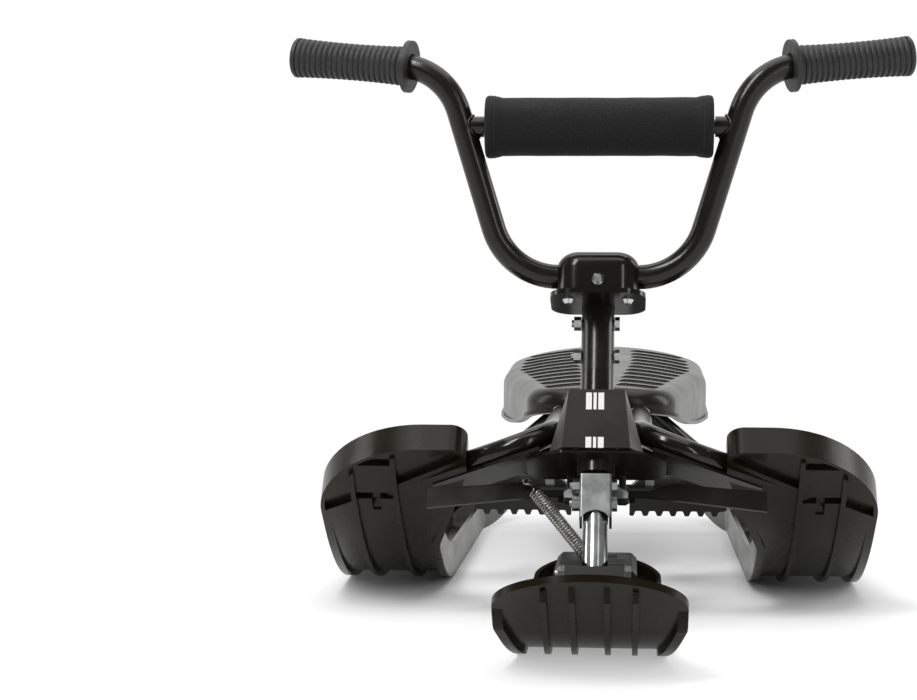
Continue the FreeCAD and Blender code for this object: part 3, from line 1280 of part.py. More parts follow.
def brake_pedal_shape():
    sheet = size("brake_sheet")
    half = size("brake_half_width")
    slope = math.radians(size("brake_plate_slope"))
    start = BRAKE_HINGE + ALONG * size("brake_plate_start") - UP * size("brake_plate_drop")
    down = Vector(0, math.cos(slope), -math.sin(slope))
    length = size("brake_plate_length")
    inner = size("brake_arm_offset") - size("brake_arm_width") / 2
    tread = [(inner, 0, 0), (half, 0, sheet * 4), (half, length, 0), (size("brake_gap") / 2, length, 0)]
    foot = prism(tread, -sheet, 0)
    foot = foot.fuse(foot.mirror(ORIGIN, ACROSS))
    stud_rows = int(length / size("dimple_pitch"))
    stud_columns = int((half - barrel_half()) / size("dimple_pitch"))
    for row in range(stud_rows):
        for column in range(stud_columns):
            x = barrel_half() + (column + 0.5) * size("dimple_pitch")
            y = (row + 0.5) * length / stud_rows
            for side in (-1, 1):
                stud = Part.makeCone(size("dimple") / 2, size("dimple") / 3, size("dimple_height"),
                                     Vector(x * side, y, 0))
                hole = bar(Vector(x * side, y, -2 * sheet), UP, size("dimple") / 5, size("dimple") * 2)
                foot = foot.fuse(stud).cut(hole)
    foot.Placement = Placement(start, Rotation(ACROSS, -size("brake_plate_slope")))
    fold = start + down * length
    flange = prism(toothed_outline(), 0, sheet)
    flange.Placement = Placement(fold, Rotation(ACROSS, -90 + size("brake_flange_angle")))
    pedal = foot.fuse(flange)

    barrel = bar(BRAKE_HINGE - ACROSS * barrel_half(), ACROSS, size("brake_barrel") / 2, 2 * barrel_half())
    pedal = pedal.fuse(barrel)
    tall = size("brake_arm_height")
    for side in (-1, 1):
        x = side * size("brake_arm_offset")
        y, z = BRAKE_HINGE.y, BRAKE_HINGE.z
        line = [(y, z + tall / 2, 0), (start.y, start.z, tall), (fold.y, fold.z, 0),
                (fold.y, fold.z - sheet, 0), (start.y, start.z - tall, tall), (y, z - tall / 2, 0)]
        arm = side_prism(line, size("brake_arm_width") / 2)
        arm.translate(ACROSS * x)
        pedal = pedal.fuse(arm)
    bore = bar(BRAKE_HINGE - ACROSS * 2 * barrel_half(), ACROSS, size("brake_axle") / 2 + size("running_fit"),
               4 * barrel_half())
    return pedal.cut(bore).removeSplitter()


# Steering column, fork and lower tube

def through_holes(shape, places, diameter, gap, reach):
    """Drill across a piece on the steering axis at places along it."""
    for up in places:
        start = Vector(-reach, 0, up)
        shape = shape.cut(bar(start, ACROSS, diameter / 2 + gap, 2 * reach))
    return shape


def round_tube(diameter, wall, low, high):
    tube = bar(UP * low, UP, diameter / 2, high - low)
    return tube.cut(bar(UP * low, UP, diameter / 2 - wall, high - low))


def make_column():
    gap = size("joint_gap")
    bolt = size("bolt_diameter")
    column_bolts = (size("column_bolt_low"), size("column_bolt_high"))
    fork_bolts = (-size("fork_bolt_high"), -size("fork_bolt_low"))
    reach = size("column_tube")
    column_low = COLUMN_TOP - size("column_length")
    column_wall = (size("column_tube") - size("steering_tube")) / 2 - gap
    column = round_tube(size("column_tube"), column_wall, column_low, COLUMN_TOP)
    node("column_tube", feature("column_tube", through_holes(column, column_bolts, bolt, gap, reach), STEER))
    inner = round_tube(size("steering_tube"), size("steering_wall"), -size("steering_tube_down"),
                       size("steering_tube_up"))
    holes = column_bolts + fork_bolts[:1]
    node("steering_tube", feature("steering_tube", through_holes(inner, holes, bolt, gap, reach), STEER))

    bolt_on("column", column_bolts, "column_tube", size("column_tube") / 2)
    fork_half = size("steering_tube") / 2 + size("fork_sheet")
    bolt_on("fork", fork_bolts, "steering_tube + 2 * fork_sheet", fork_half)

    node("fork_bracket", feature("fork_bracket", fork_shape(fork_bolts, bolt, gap), STEER))
    node("lower_tube", feature("lower_tube", lower_tube_shape(fork_bolts[1:], bolt, gap), STEER))


def bolt_on(word, places, width, half):
    """Bolts across the steering axis with heads on the rider's left, and their nuts."""
    bolts, nuts = [], []
    length = width + " + 4 * joint_gap + nut_height + bolt_diameter / 3"
    for index, up in enumerate(places):
        seat = steer_point(half + 2 * size("joint_gap"), 0, up)
        bolts.append(hex_bolt("%s_bolt_%d" % (word, index), seat, -ACROSS, "bolt_diameter", length,
                              "bolt_across", "bolt_head_height"))
        nuts.append(hex_nut("%s_nut_%d" % (word, index), other_side(seat), -ACROSS, "bolt_diameter",
                            "bolt_across", "nut_height"))
    node(word + "_bolts", group(word + "_bolts", bolts))
    node(word + "_nuts", group(word + "_nuts", nuts))


FORK_EAR_SHARE = 0.4


def fork_shape(fork_bolts, bolt, gap):
    """A folded bracket open to the rear, with a notched lower edge and two ears."""
    sheet = size("fork_sheet")
    half = size("steering_tube") / 2 + gap + sheet
    top = -size("fork_up")
    low = top - size("fork_length")
    front = -half
    back = front + size("fork_depth")
    shell = box((-half, front, low), (half, back, top))
    shell = shell.makeFillet(sheet, [edge for edge in shell.Edges if upright_front(edge, front)])
    room = half - sheet
    shell = shell.cut(box((-room, front + sheet, low - sheet), (room, back + sheet, top + sheet)))
    rise = size("fork_wave")
    curve = (room ** 2 + rise ** 2) / (2 * rise)
    notch = bar(Vector(0, front - sheet, low + rise - curve), ALONG, curve, sheet * 3)
    shell = shell.cut(notch)
    for side in (-1, 1):
        long = size("fork_ear")
        slant = long * FORK_EAR_SHARE
        ear = prism([(0, 0, 0), (long, 0, sheet / 2), (long, slant, sheet / 2), (0, long, 0)], 0, sheet)
        ear.Placement = Placement(Vector(half - gap, back / 2 + sheet, top - long),
                                  Rotation(ACROSS, 90))
        if side < 0:
            ear = ear.mirror(ORIGIN, ACROSS)
        shell = shell.fuse(ear)
    return through_holes(shell, fork_bolts, bolt, gap, 2 * half).removeSplitter()


def upright_front(edge, front):
    ends = [vertex.Point for vertex in edge.Vertexes]
    at_front = all(abs(point.y - front) < size("joint_gap") for point in ends)
    return at_front and abs(ends[0].z - ends[1].z) > size("fork_sheet")


def lower_tube_shape(fork_bolts, bolt, gap):
    """The plated tube between fork and ski, with the lug for the spring behind it."""
    top = -size("steering_tube_down") - gap
    low = -PIN_DOWN - size("lower_past")
    radius = size("lower_tube") / 2
    tube = round_tube(size("lower_tube"), size("lower_wall"), low, top)
    up = -PIN_DOWN + size("lug_up")
    half = size("lug_sheet") / 2
    lug = box((-half, radius - size("lower_wall") / 2, up - size("lug_height") / 2),
              (half, radius + size("lug_reach"), up + size("lug_height") / 2))
    lug = lug.makeFillet(size("lug_height") / 3, [edge for edge in lug.Edges if lug_corner(edge, radius)])
    eye = Vector(-2 * half, radius + size("lug_reach") - size("lug_height") / 2, up)
    lug = lug.cut(bar(eye, ACROSS, size("spring_wire"), 4 * half))
    tube = through_holes(tube.fuse(lug), fork_bolts, bolt, gap, 2 * radius)
    pin_radius = size("pin_diameter") / 2 + size("running_fit")
    return tube.cut(bar(Vector(-2 * radius, 0, -PIN_DOWN), ACROSS, pin_radius, 4 * radius))


def lug_corner(edge, radius):
    ends = [vertex.Point for vertex in edge.Vertexes]
    return all(point.y > radius + size("lug_reach") / 2 for point in ends) and abs(ends[0].x - ends[1].x) > 0


# Handlebar, crossbar, pad and grips

BAR_BOTTOM = steer_point(0, -size("bar_reach"), size("bar_rise"))
BAR_LEAN = math.radians(size("bar_spread"))
BAR_LOW = BAR_BOTTOM + ACROSS * size("bar_half")
BAR_HIGH = BAR_LOW + Vector(size("bar_height") * math.tan(BAR_LEAN), 0, size("bar_height"))
GRIP_WAY = Vector(cosine("bar_upsweep") * cosine("bar_backsweep"),
                  cosine("bar_upsweep") * sine("bar_backsweep"), sine("bar_upsweep"))
BAR_END = BAR_HIGH + GRIP_WAY * size("bar_end")
CROSSBAR = BAR_BOTTOM + UP * size("crossbar_height")


def make_handlebar():
    half = [(BAR_END, 0), (BAR_HIGH, size("bar_high_bend")), (BAR_LOW, size("bar_low_bend"))]
    corners = half + [(other_side(point), radius) for point, radius in reversed(half)]
    node("handlebar", feature("handlebar", bent_tube(corners, "bar_tube", "bar_wall")))

    reach = size("bar_half") + size("crossbar_height") * math.tan(BAR_LEAN)
    rung = bar(CROSSBAR - ACROSS * reach, ACROSS, size("crossbar_tube") / 2, 2 * reach)
    collar_start = reach - size("bar_tube") / 2 - size("crossbar_collar_length")
    for side in (-1, 1):
        collar = bar(CROSSBAR + ACROSS * side * collar_start, ACROSS * side, size("crossbar_collar") / 2,
                     reach - collar_start)
        rung = rung.fuse(collar)
    arm = (BAR_HIGH - BAR_LOW).normalize()
    for start, way in ((BAR_LOW, arm), (other_side(BAR_LOW), other_side(arm))):
        rung = rung.cut(bar(start, way, size("bar_tube") / 2 + size("joint_gap"), 2 * size("bar_height")))
    rung = sorted(rung.Solids, key=lambda solid: solid.Volume)[-1]
    node("crossbar", feature("crossbar", rung.removeSplitter()))

    start = CROSSBAR - ACROSS * size("pad_length") / 2
    pad = bar(start, ACROSS, size("pad_diameter") / 2, size("pad_length"))
    rims = [edge for edge in pad.Edges if edge.Curve.TypeId == "Part::GeomCircle"]
    pad = pad.makeFillet(size("pad_round"), rims)
    pad = pad.cut(bar(start, ACROSS, size("crossbar_tube") / 2 + size("pad_gap"), size("pad_length")))
    node("crossbar_pad", feature("crossbar_pad", pad))

    grip = node("grip_left", feature("grip_left", grip_shape()))
    start = BAR_END - GRIP_WAY * (size("grip_length") - size("grip_cap") - size("joint_gap"))
    grip.Placement = Placement(start, facing(GRIP_WAY))
    node("grip_right", mirrored("grip_right", grip))


GRIP_RINGS = 20


def grip_shape():
    """A ringed rubber grip along +Z from its flange, closed at its far end."""
    length = size("grip_length")
    bore = size("bar_tube") / 2 + size("running_fit")
    waist, end = size("grip_diameter") / 2, size("grip_end_diameter") / 2
    flange = size("grip_flange_length")
    pitch = (length - flange * 2) / GRIP_RINGS

    def radius_at(share):
        return waist + (end - waist) * (2 * share - 1) ** 2

    guard = size("grip_flange") / 2
    mouth = Vector(bore + size("grip_relief"), 0, 0)
    dots = [mouth, Vector(guard, 0, 0), Vector(guard, 0, flange)]
    edges = [Part.LineSegment(a, b) for a, b in zip(dots, dots[1:])]
    start = Vector(radius_at(0) - size("grip_ring_depth"), 0, flange)
    edges.append(Part.LineSegment(dots[-1], start))
    for index in range(GRIP_RINGS):
        low = flange + index * pitch
        crest = Vector(radius_at((index + 0.5) / GRIP_RINGS), 0, low + pitch / 2)
        stop = Vector(radius_at((index + 1) / GRIP_RINGS) - size("grip_ring_depth"), 0, low + pitch)
        edges.append(Part.Arc(start, crest, stop))
        start = stop
    round_end = length - flange / 3
    tail = [start, Vector(end, 0, start.z), Vector(end, 0, round_end), Vector(end - flange / 3, 0, length),
            Vector(0, 0, length), Vector(0, 0, length - size("grip_cap")),
            Vector(bore, 0, length - size("grip_cap")), Vector(bore, 0, 2 * flange), mouth]
    edges += [Part.LineSegment(a, b) for a, b in zip(tail, tail[1:])]
    wire = Part.Wire([edge.toShape() for edge in edges])
    return Part.Face(wire).revolve(ORIGIN, UP, 360)


# Stem: bracket, clamp, dome cover and lower cover, in a frame that leans less than the steering axis

COLUMN_TOP = size("head_up") + size("bush_collar_height") + 3 * size("joint_gap") + size("column_length")
STEM = Placement(steer_point(0, 0, COLUMN_TOP), Rotation(ACROSS, -size("stem_tilt")))
STEM_AXIS = STEM.Rotation.multVec(UP)
STEM_BACK = STEM.Rotation.multVec(ALONG)
STEM_SCREW_SHARE = 0.4


def column_room(gap):
    """The space of the column in the frame of the stem."""
    room = bar(UP * -size("column_length"), UP, size("column_tube") / 2 + gap, 2 * size("column_length"))
    room.Placement = Placement(ORIGIN, Rotation(ACROSS, size("stem_tilt") - size("steering_rake")))
    return room


def stem_outline(wide, margin, corner):
    front, back = -size("stem_front") - margin, size("stem_back") + margin
    return [(-wide, front, corner), (wide, front, corner), (wide, back, corner), (-wide, back, corner)]


def make_stem():
    gap = size("joint_gap")
    thick_plate = size("stem_sheet")
    wide = size("stem_half_width")
    bar_center = STEM.inverse().multVec(BAR_BOTTOM)
    bar_room = bar(bar_center - ACROSS * 2 * wide, ACROSS, size("bar_tube") / 2 + gap, 4 * wide)
    bracket = prism(stem_outline(wide, 0, wide / 3), -thick_plate / 2, thick_plate / 2)
    clamp = size("clamp_half_width")
    depth = size("clamp_depth") / 2
    saddle = box((-clamp, bar_center.y - depth, 0), (clamp, bar_center.y + depth, bar_center.z))
    bracket = bracket.fuse(saddle).cut(bar_room).cut(column_room(gap))
    screw_hole = size("screw_diameter") / 2 + gap
    spots = [Vector(side * size("stem_screw_offset"), bar_center.y, 0) for side in (-1, 1)]
    for spot in spots:
        bracket = bracket.cut(bar(spot - UP * thick_plate, UP, screw_hole, 2 * thick_plate))
    node("stem_bracket", feature("stem_bracket", bracket.removeSplitter(), STEM))

    cap = box((-clamp, bar_center.y - depth, bar_center.z + gap),
              (clamp, bar_center.y + depth, bar_center.z + size("clamp_height"))).cut(bar_room)
    node("bar_clamp", feature("bar_clamp", cap.cut(column_room(gap)), STEM))

    plate_low = -thick_plate / 2
    node("stem_cover", feature("stem_cover", dome_shape(plate_low, bar_center), STEM))
    tray_low = plate_low - gap - size("tray_sheet")
    tray = prism(stem_outline(size("tray_half_width"), size("dome_margin"), size("dome_corner")), tray_low,
                 plate_low - gap).cut(column_room(size("free_gap")))
    for spot in spots:
        tray = tray.cut(bar(Vector(spot.x, spot.y, tray_low), UP, screw_hole, size("tray_sheet")))
    node("stem_lower_cover", feature("stem_lower_cover", tray, STEM))
    seats = [STEM.multVec(Vector(spot.x, spot.y, tray_low - gap)) for spot in spots]
    screws = [pan_screw("stem_screw_%d" % index, seat, STEM_AXIS, "tray_sheet + stem_sheet")
              for index, seat in enumerate(seats)]
    screw_up = bar_center.z - size("bar_tube") * STEM_SCREW_SHARE
    face = STEM.multVec(Vector(0, -size("stem_front") - size("dome_margin") - gap, screw_up))
    screws.append(pan_screw("stem_screw_front", face, STEM_BACK, "dome_margin"))
    node("stem_screws", group("stem_screws", screws))


def dome_shape(plate_low, bar_center):
    """A rounded hollow cover with side openings for the handlebar."""
    wall, gap = size("dome_wall"), size("joint_gap")
    margin = size("dome_margin")
    wide = size("dome_half_width")
    high = plate_low + size("dome_height")
    corner = size("dome_corner")
    solid = prism(stem_outline(wide, margin, corner), plate_low, high)
    solid = solid.makeFillet(size("dome_round"), [edge for edge in solid.Edges if top_edge(edge, high)])
    hollow = prism(stem_outline(wide - wall, margin - wall, corner - wall), plate_low, high - wall)
    hollow = hollow.makeFillet(size("dome_round") - wall,
                               [edge for edge in hollow.Edges if top_edge(edge, high - wall)])
    half = size("bar_tube") / 2 + size("free_gap")
    bar_room = bar(bar_center - ACROSS * 2 * wide, ACROSS, half, 4 * wide)
    slot = box((-2 * wide, bar_center.y - half, plate_low), (2 * wide, bar_center.y + half, bar_center.z))
    front = -size("stem_front") - margin
    screw = bar(Vector(0, front - wall, bar_center.z - size("bar_tube") * STEM_SCREW_SHARE), ALONG,
                size("screw_diameter") / 2 + gap, margin * 2)
    return solid.cut(hollow).cut(bar_room).cut(slot).cut(screw)


def top_edge(edge, level):
    return all(abs(vertex.Z - level) < size("joint_gap") for vertex in edge.Vertexes)


# Front ski

BLADE_ANGLE = math.radians(size("blade_front_angle"))
BLADE_CONTACT = PIN_Y - contact_ahead
BLADE_TAIL = BLADE_CONTACT + size("blade_flat") + size("blade_tail_run")
BLADE_PAST_SHARE = 1.1
BLADE_TAIL_ANGLE = math.asin(size("blade_tail_run") / size("blade_tail_radius")) * BLADE_PAST_SHARE
BLADE_SOLE = Sole(BLADE_CONTACT, size("blade_flat"), size("blade_front_radius"), BLADE_ANGLE,
                  size("blade_slope"), size("blade_tail_radius"), BLADE_TAIL_ANGLE)
BLADE_REACH = 4 * size("blade_flat")
BLADE_ROUND_SHARE = 0.8
SOLE_TOP = GROUND_TO_SOLE + size("ski_sheet")


def blade_clip(inset):
    """Everything inside the outline of the front ski."""
    half = size("blade_width") / 2 - inset
    wide = size("blade_tip_width") / 2 - inset
    end = size("blade_slope")
    turn = end - size("blade_tip_round")
    flare = size("blade_tip_round")
    corners = [(Vector(wide, turn, 0), 0), (Vector(wide, turn - flare / 2, 0), flare),
               (Vector(half, -flare, 0), flare), (Vector(half, -BLADE_REACH, 0), 0),
               (Vector(-half, -BLADE_REACH, 0), 0), (Vector(-half, -flare, 0), flare),
               (Vector(-wide, turn - flare / 2, 0), flare),
               (Vector(-wide, turn, 0), 0)]
    edges = rounded_edges(corners, closed=False)
    edges.append(quarter_ellipse(Vector(0, turn, 0), wide, size("blade_tip_round") - inset, 0, 180))
    tip = Part.Face(Part.Wire(Part.__sortEdges__([edge.toShape() for edge in edges])))
    round_tail = half * BLADE_ROUND_SHARE
    middle = BLADE_CONTACT + size("blade_flat") / 2
    far = BLADE_TAIL - 2 * BLADE_REACH
    tail_points = [(-wide, far, 0), (wide, far, 0), (wide, middle, 0), (half, middle, 0),
                   (half, BLADE_TAIL - inset, round_tail), (-half, BLADE_TAIL - inset, round_tail),
                   (-half, middle, 0), (-wide, middle, 0)]
    tail = prism(tail_points, -BLADE_REACH, BLADE_REACH)
    return thick(tip, 2 * BLADE_REACH, BLADE_SOLE.slope_frame()).common(tail)


def above_tip_rim(wide):
    """What is cut from the rim so that it is low round the tip and rises behind it."""
    tip = BLADE_SOLE.walk(size("blade_tip_rim"))[-1].EndPoint
    knee = tip + Vector(0, math.cos(BLADE_ANGLE), -math.sin(BLADE_ANGLE)) * size("blade_tip_low")
    low = GROUND_TO_SOLE + size("blade_wall_height")
    return side_prism([(BLADE_CONTACT, low, 0), (BLADE_CONTACT, BLADE_REACH, 0), (tip.y, BLADE_REACH, 0),
                       (tip.y, tip.z, 0), (knee.y, knee.z, 0)], wide)


def blade_shape():
    sheet, wall = size("ski_sheet"), size("ski_wall")
    wide = size("blade_tip_width")
    past = size("overrun")
    outside = blade_clip(0)
    blade = BLADE_SOLE.band(0, size("blade_wall_height"), -wide, wide).common(outside)
    room = BLADE_SOLE.band(sheet, size("blade_wall_height") + past, -wide, wide)
    blade = blade.cut(room.common(blade_clip(wall))).cut(above_tip_rim(wide))
    depth = size("runner_height")
    inner = blade_clip(size("runner_width"))
    ring = outside.cut(inner)
    limit = box((-wide, -BLADE_REACH, -depth), (wide, BLADE_TAIL - size("blade_tail_run") / 2, BLADE_REACH))
    edge_room = runner_room(BLADE_SOLE, BLADE_CONTACT, size("blade_runner_fade")).common(limit)
    rib_room = runner_room(BLADE_SOLE, BLADE_CONTACT, size("blade_rib_fade")).common(inner)
    blade = blade.fuse(BLADE_SOLE.band(-depth, 0, -wide, wide).common(ring).common(edge_room))
    for offset in (size("blade_rib_inner"), size("blade_rib_outer")):
        for center in (-offset, offset):
            rib = BLADE_SOLE.band(-depth, 0, center - size("rib_width") / 2, center + size("rib_width") / 2)
            blade = blade.fuse(rib.common(rib_room))
    hole = size("screw_diameter") / 2 + size("joint_gap")
    for spot in tower_screw_spots():
        blade = blade.cut(bar(Vector(spot.x, spot.y, -depth), UP, hole, 2 * SOLE_TOP + depth))
    return blade.removeSplitter()


TOWER_ROW_SHARES = (0.25, 0.75)
RAMP_SHARE = 0.35
ROCK_SHARE = 1.15
PIN_ROOM_SHARE = 0.65


def tower_screw_spots():
    """Screws from below into the housing, in the gaps between the middle runners."""
    start = PIN_Y + size("tower_half_length")
    rows = [start + size("box_length") * share for share in TOWER_ROW_SHARES]
    middle = (size("blade_rib_inner") + size("blade_rib_outer")) / 2
    return [Vector(side * middle, y, SOLE_TOP) for y in rows for side in (-1, 1)]


def tower_shape():
    """The tower that holds the ski pivot, its ramp and the housing behind it."""
    base = SOLE_TOP + size("joint_gap")
    top = size("pin_height") + size("tower_height")
    box_top = top - size("box_drop")
    half = size("tower_half_length")
    front, back = PIN_Y - half, PIN_Y + half
    ramp = front - size("tower_ramp")
    end = back + size("box_length")
    chamfer = size("box_chamfer")
    rise = top - base
    pillar = side_prism([(ramp, base, 0), (front - rise / 2, base + rise * RAMP_SHARE, size("tower_ramp")),
                         (front, top, chamfer / 2), (back, top, chamfer / 2), (back + chamfer, base, 0)],
                        size("tower_width") / 2)
    wide = size("box_width") / 2
    house = prism([(-wide, PIN_Y, chamfer), (wide, PIN_Y, chamfer), (wide, end, chamfer),
                   (-wide, end, chamfer)], base, box_top)
    house = house.makeChamfer(chamfer / 2, [edge for edge in house.Edges if top_edge(edge, box_top)])
    tower = pillar.fuse(house).cut(raised_sole(2 * wide))
    slots = int(size("box_length") / size("box_slot_pitch")) - 1
    for index in range(slots):
        y = back + chamfer + index * size("box_slot_pitch")
        low = (-size("box_slot_length") / 2, y, box_top - size("box_slot_depth"))
        high = (size("box_slot_length") / 2, y + size("box_slot_width"), box_top + size("overrun"))
        tower = tower.cut(box(low, high))

    # slot for the lower tube to rock in
    gap_half = size("lower_tube") / 2 + size("free_gap")
    foot = size("pin_height") - size("lower_past") - size("lower_tube") / 2
    rock = size("lower_tube") * ROCK_SHARE
    tower = tower.cut(box((-gap_half, PIN_Y - rock, foot - size("rock_room")),
                          (gap_half, PIN_Y + rock + size("lug_reach") * 2, top + size("overrun"))))
    pin_radius = size("pin_diameter") / 2 + size("joint_gap")
    tower = tower.cut(bar(Vector(-2 * wide, PIN_Y, size("pin_height")), ACROSS, pin_radius, 4 * wide))
    beside = size("pin_across")
    room = box((-2 * wide, PIN_Y - beside, size("pin_height") - beside * PIN_ROOM_SHARE),
               (-size("tower_width") / 2, PIN_Y + beside, top + size("overrun")))
    tower = tower.cut(room).cut(room.mirror(ORIGIN, ACROSS))
    hole = size("screw_diameter") / 2 + size("joint_gap")
    deep = (box_top - base) / 2 + size("joint_gap")
    for spot in tower_screw_spots():
        tower = tower.cut(bar(Vector(spot.x, spot.y, base), UP, hole, deep))
    return tower.removeSplitter()


KNOB_FOOT_SHARE = 1.6
KNOB_ROUND_SHARE = 0.98


def knob_shape():
    """A T-shaped towing knob on the ski."""
    base = SOLE_TOP + size("joint_gap")
    y = PIN_Y - size("knob_ahead")
    top = base + size("knob_height")
    radius = size("knob_bar") / 2
    lower = top - size("knob_bar_height")
    foot, slim = radius * KNOB_FOOT_SHARE, size("knob_neck") / 2
    neck = side_prism([(y - foot, base, 0), (y - slim, lower, 0), (y + slim, lower, 0),
                       (y + foot, base, 0)], slim)
    half = size("knob_width") / 2
    corner = radius * KNOB_ROUND_SHARE
    head = prism([(-half, y - radius, corner), (half, y - radius, corner), (half, y + radius, corner),
                  (-half, y + radius, corner)], lower, top)
    head = head.makeFillet(size("knob_bar_height") / 4, [edge for edge in head.Edges if top_edge(edge, top)])
    return neck.fuse(head).removeSplitter()


def make_front_ski():
    node("front_ski_blade", feature("front_ski_blade", blade_shape()))
    node("front_ski_tower", feature("front_ski_tower", tower_shape()))
    knob = knob_shape()
    node("tow_knob", feature("tow_knob", knob.cut(raised_sole(size("knob_width")))))
    screws = []
    for index, spot in enumerate(tower_screw_spots()):
        seat = Vector(spot.x, spot.y, GROUND_TO_SOLE - size("joint_gap"))
        screws.append(pan_screw("tower_screw_%d" % index, seat, UP, "ski_sheet + box_chamfer"))
    node("front_tower_screws", group("front_tower_screws", screws))
    half = size("tower_width") / 2 + size("joint_gap")
    pin = Vector(0, PIN_Y, size("pin_height"))
    node("pivot_bolt", hex_bolt("pivot_bolt", pin + ACROSS * half, -ACROSS, "pin_diameter",
                                "tower_width + 2 * joint_gap + nut_height + bolt_diameter / 3", "pin_across",
                                "pin_head_height"))
    node("pivot_nut", hex_nut("pivot_nut", pin - ACROSS * half, -ACROSS, "pin_diameter", "pin_across",
                              "nut_height"))


def raised_sole(half):
    """The sole of the front ski, raised by the gap of a joint."""
    return BLADE_SOLE.band(-size("runner_height"), size("ski_sheet") + size("joint_gap"), -half, half)


# Return spring: one wire, with a straight run at each end

SPRING_TURNS = 26


def biarc(start, start_way, end, end_way):
    """Two tangent arcs between two points with given directions."""
    chord = end - start
    ways = start_way + end_way
    spread = 2 * (1 - start_way.dot(end_way))
    along = chord.dot(ways)
    reach = (-along + math.sqrt(along ** 2 + spread * chord.dot(chord))) / spread
    first = start + start_way * reach
    last = end - end_way * reach
    middle = (first + last) * 0.5
    arcs = []
    for a, corner, b in ((start, first, middle), (middle, last, end)):
        before, after = (a - corner).normalize(), (b - corner).normalize()
        half = before.getAngle(after) / 2
        radius = reach * math.tan(half)
        inward = (before + after).normalize() * (radius / math.sin(half) - radius)
        arcs.append(Part.Arc(a, corner + inward, b))
    return arcs


def spring_ends():
    top = -size("cover_down") - size("joint_gap") - size("bridge_sheet") - size("member_drop")
    middle = top + size("member_rise") - 2 * size("spring_wire")
    front = size("member_back") - size("bridge_sheet") - size("spring_diameter") / 2 - size("free_gap")
    upper = steer_point(-size("spring_anchor"), front, middle)
    lug_back = size("lower_tube") / 2 + size("lug_reach") - size("lug_height") / 2
    lower = steer_point(-size("lug_sheet") / 2 - size("spring_wire"), lug_back, -PIN_DOWN + size("lug_up"))
    return upper, lower


def spring_shape():
    upper, lower = spring_ends()
    way = (lower - upper).normalize()
    side = way.cross(UP).normalize()
    other = way.cross(side)
    radius = (size("spring_diameter") - size("spring_wire")) / 2
    hook = size("spring_hook")
    body = (lower - upper).Length - 2 * hook
    pitch = body / SPRING_TURNS
    slope = pitch / (2 * math.pi * radius)

    def coil(turn):
        angle = 2 * math.pi * turn
        out = side * math.cos(angle) + other * math.sin(angle)
        around = other * math.cos(angle) - side * math.sin(angle)
        return upper + way * (hook + pitch * turn) + out * radius, (around + way * slope).normalize()

    edges = []
    lead = size("spring_wire") * 2
    head = upper + way * lead
    edges.append(Part.LineSegment(upper, head))
    edges += biarc(head, way, *coil(0))
    for step in range(2 * SPRING_TURNS):
        place, direction = coil(step / 2)
        stop, stop_way = coil((step + 1) / 2)
        edges += biarc(place, direction, stop, stop_way)
    finish, finish_way = coil(SPRING_TURNS)
    tail = lower - way * lead
    edges += biarc(finish, finish_way, tail, way)
    edges.append(Part.LineSegment(tail, lower))
    path = Part.Wire([edge.toShape() for edge in edges])
    ring = Part.Wire(Part.makeCircle(size("spring_wire") / 2, upper, way))
    spring = path.makePipeShell([ring], True, False)
    print("spring: pitch %.2f, gap between turns %.2f mm" % (pitch, spring_gap(coil)))
    return spring


def spring_gap(coil):
    """Least distance between neighbouring turns, measured on points, less the wire."""
    steps = 24
    dots = [coil(index / steps)[0] for index in range(3 * steps)]
    nearest = min((dots[a] - dots[b]).Length for a in range(steps) for b in range(a + steps // 2, 3 * steps))
    return nearest - size("spring_wire")


def make_spring():
    node("return_spring", feature("return_spring", spring_shape()))


make_side_skis()
make_rails()
make_struts()
make_seat()
make_head()
make_brake()
make_column()
make_handlebar()
make_stem()
make_front_ski()
make_spring()
DOC.recompute()

faulty = [thing.Name for thing in DOC.Objects if "Invalid" in thing.State or "Error" in thing.State]
for label, thing in NODES.items():
    if thing.Shape.isNull() or not thing.Shape.isValid():
        faulty.append(label)
if faulty:
    raise RuntimeError("not built: " + ", ".join(faulty))

os.makedirs("parts", exist_ok=True)
for label, thing in NODES.items():
    thing.Shape.exportStep("parts/%s.step" % label)
print("%d pieces, from y %.1f to %.1f" % (len(NODES), PIN_Y - contact_ahead - blade_tip_run, TAIL_Y))
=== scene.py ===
import json
import math

import bmesh
import bpy
from mathutils import Matrix, Vector, noise


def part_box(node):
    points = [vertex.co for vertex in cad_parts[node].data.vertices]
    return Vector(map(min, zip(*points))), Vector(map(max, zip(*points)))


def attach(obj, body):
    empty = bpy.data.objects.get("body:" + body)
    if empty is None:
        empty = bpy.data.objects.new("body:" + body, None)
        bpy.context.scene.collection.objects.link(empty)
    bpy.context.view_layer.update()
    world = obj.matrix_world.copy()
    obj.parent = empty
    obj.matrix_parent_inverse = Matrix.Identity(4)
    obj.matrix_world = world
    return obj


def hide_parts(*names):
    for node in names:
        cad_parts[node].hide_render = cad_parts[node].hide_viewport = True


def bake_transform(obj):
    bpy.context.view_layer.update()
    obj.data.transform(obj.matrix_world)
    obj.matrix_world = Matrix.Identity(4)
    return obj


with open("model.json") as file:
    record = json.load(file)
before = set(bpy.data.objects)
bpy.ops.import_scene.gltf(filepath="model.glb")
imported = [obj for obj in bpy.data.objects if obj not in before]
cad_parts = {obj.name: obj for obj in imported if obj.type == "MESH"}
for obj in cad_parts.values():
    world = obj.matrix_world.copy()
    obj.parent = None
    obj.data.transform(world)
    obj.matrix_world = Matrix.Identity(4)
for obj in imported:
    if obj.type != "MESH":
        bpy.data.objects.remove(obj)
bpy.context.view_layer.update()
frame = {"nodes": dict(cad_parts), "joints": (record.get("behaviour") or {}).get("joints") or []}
NODES = frame["nodes"]
scene = bpy.context.scene

# Lengths are in metres, and colours are linear

FULL_TURN = 2 * math.pi
WHITE = (1, 1, 1, 1)

# The steering axis, which most places on the front of the sled are measured from

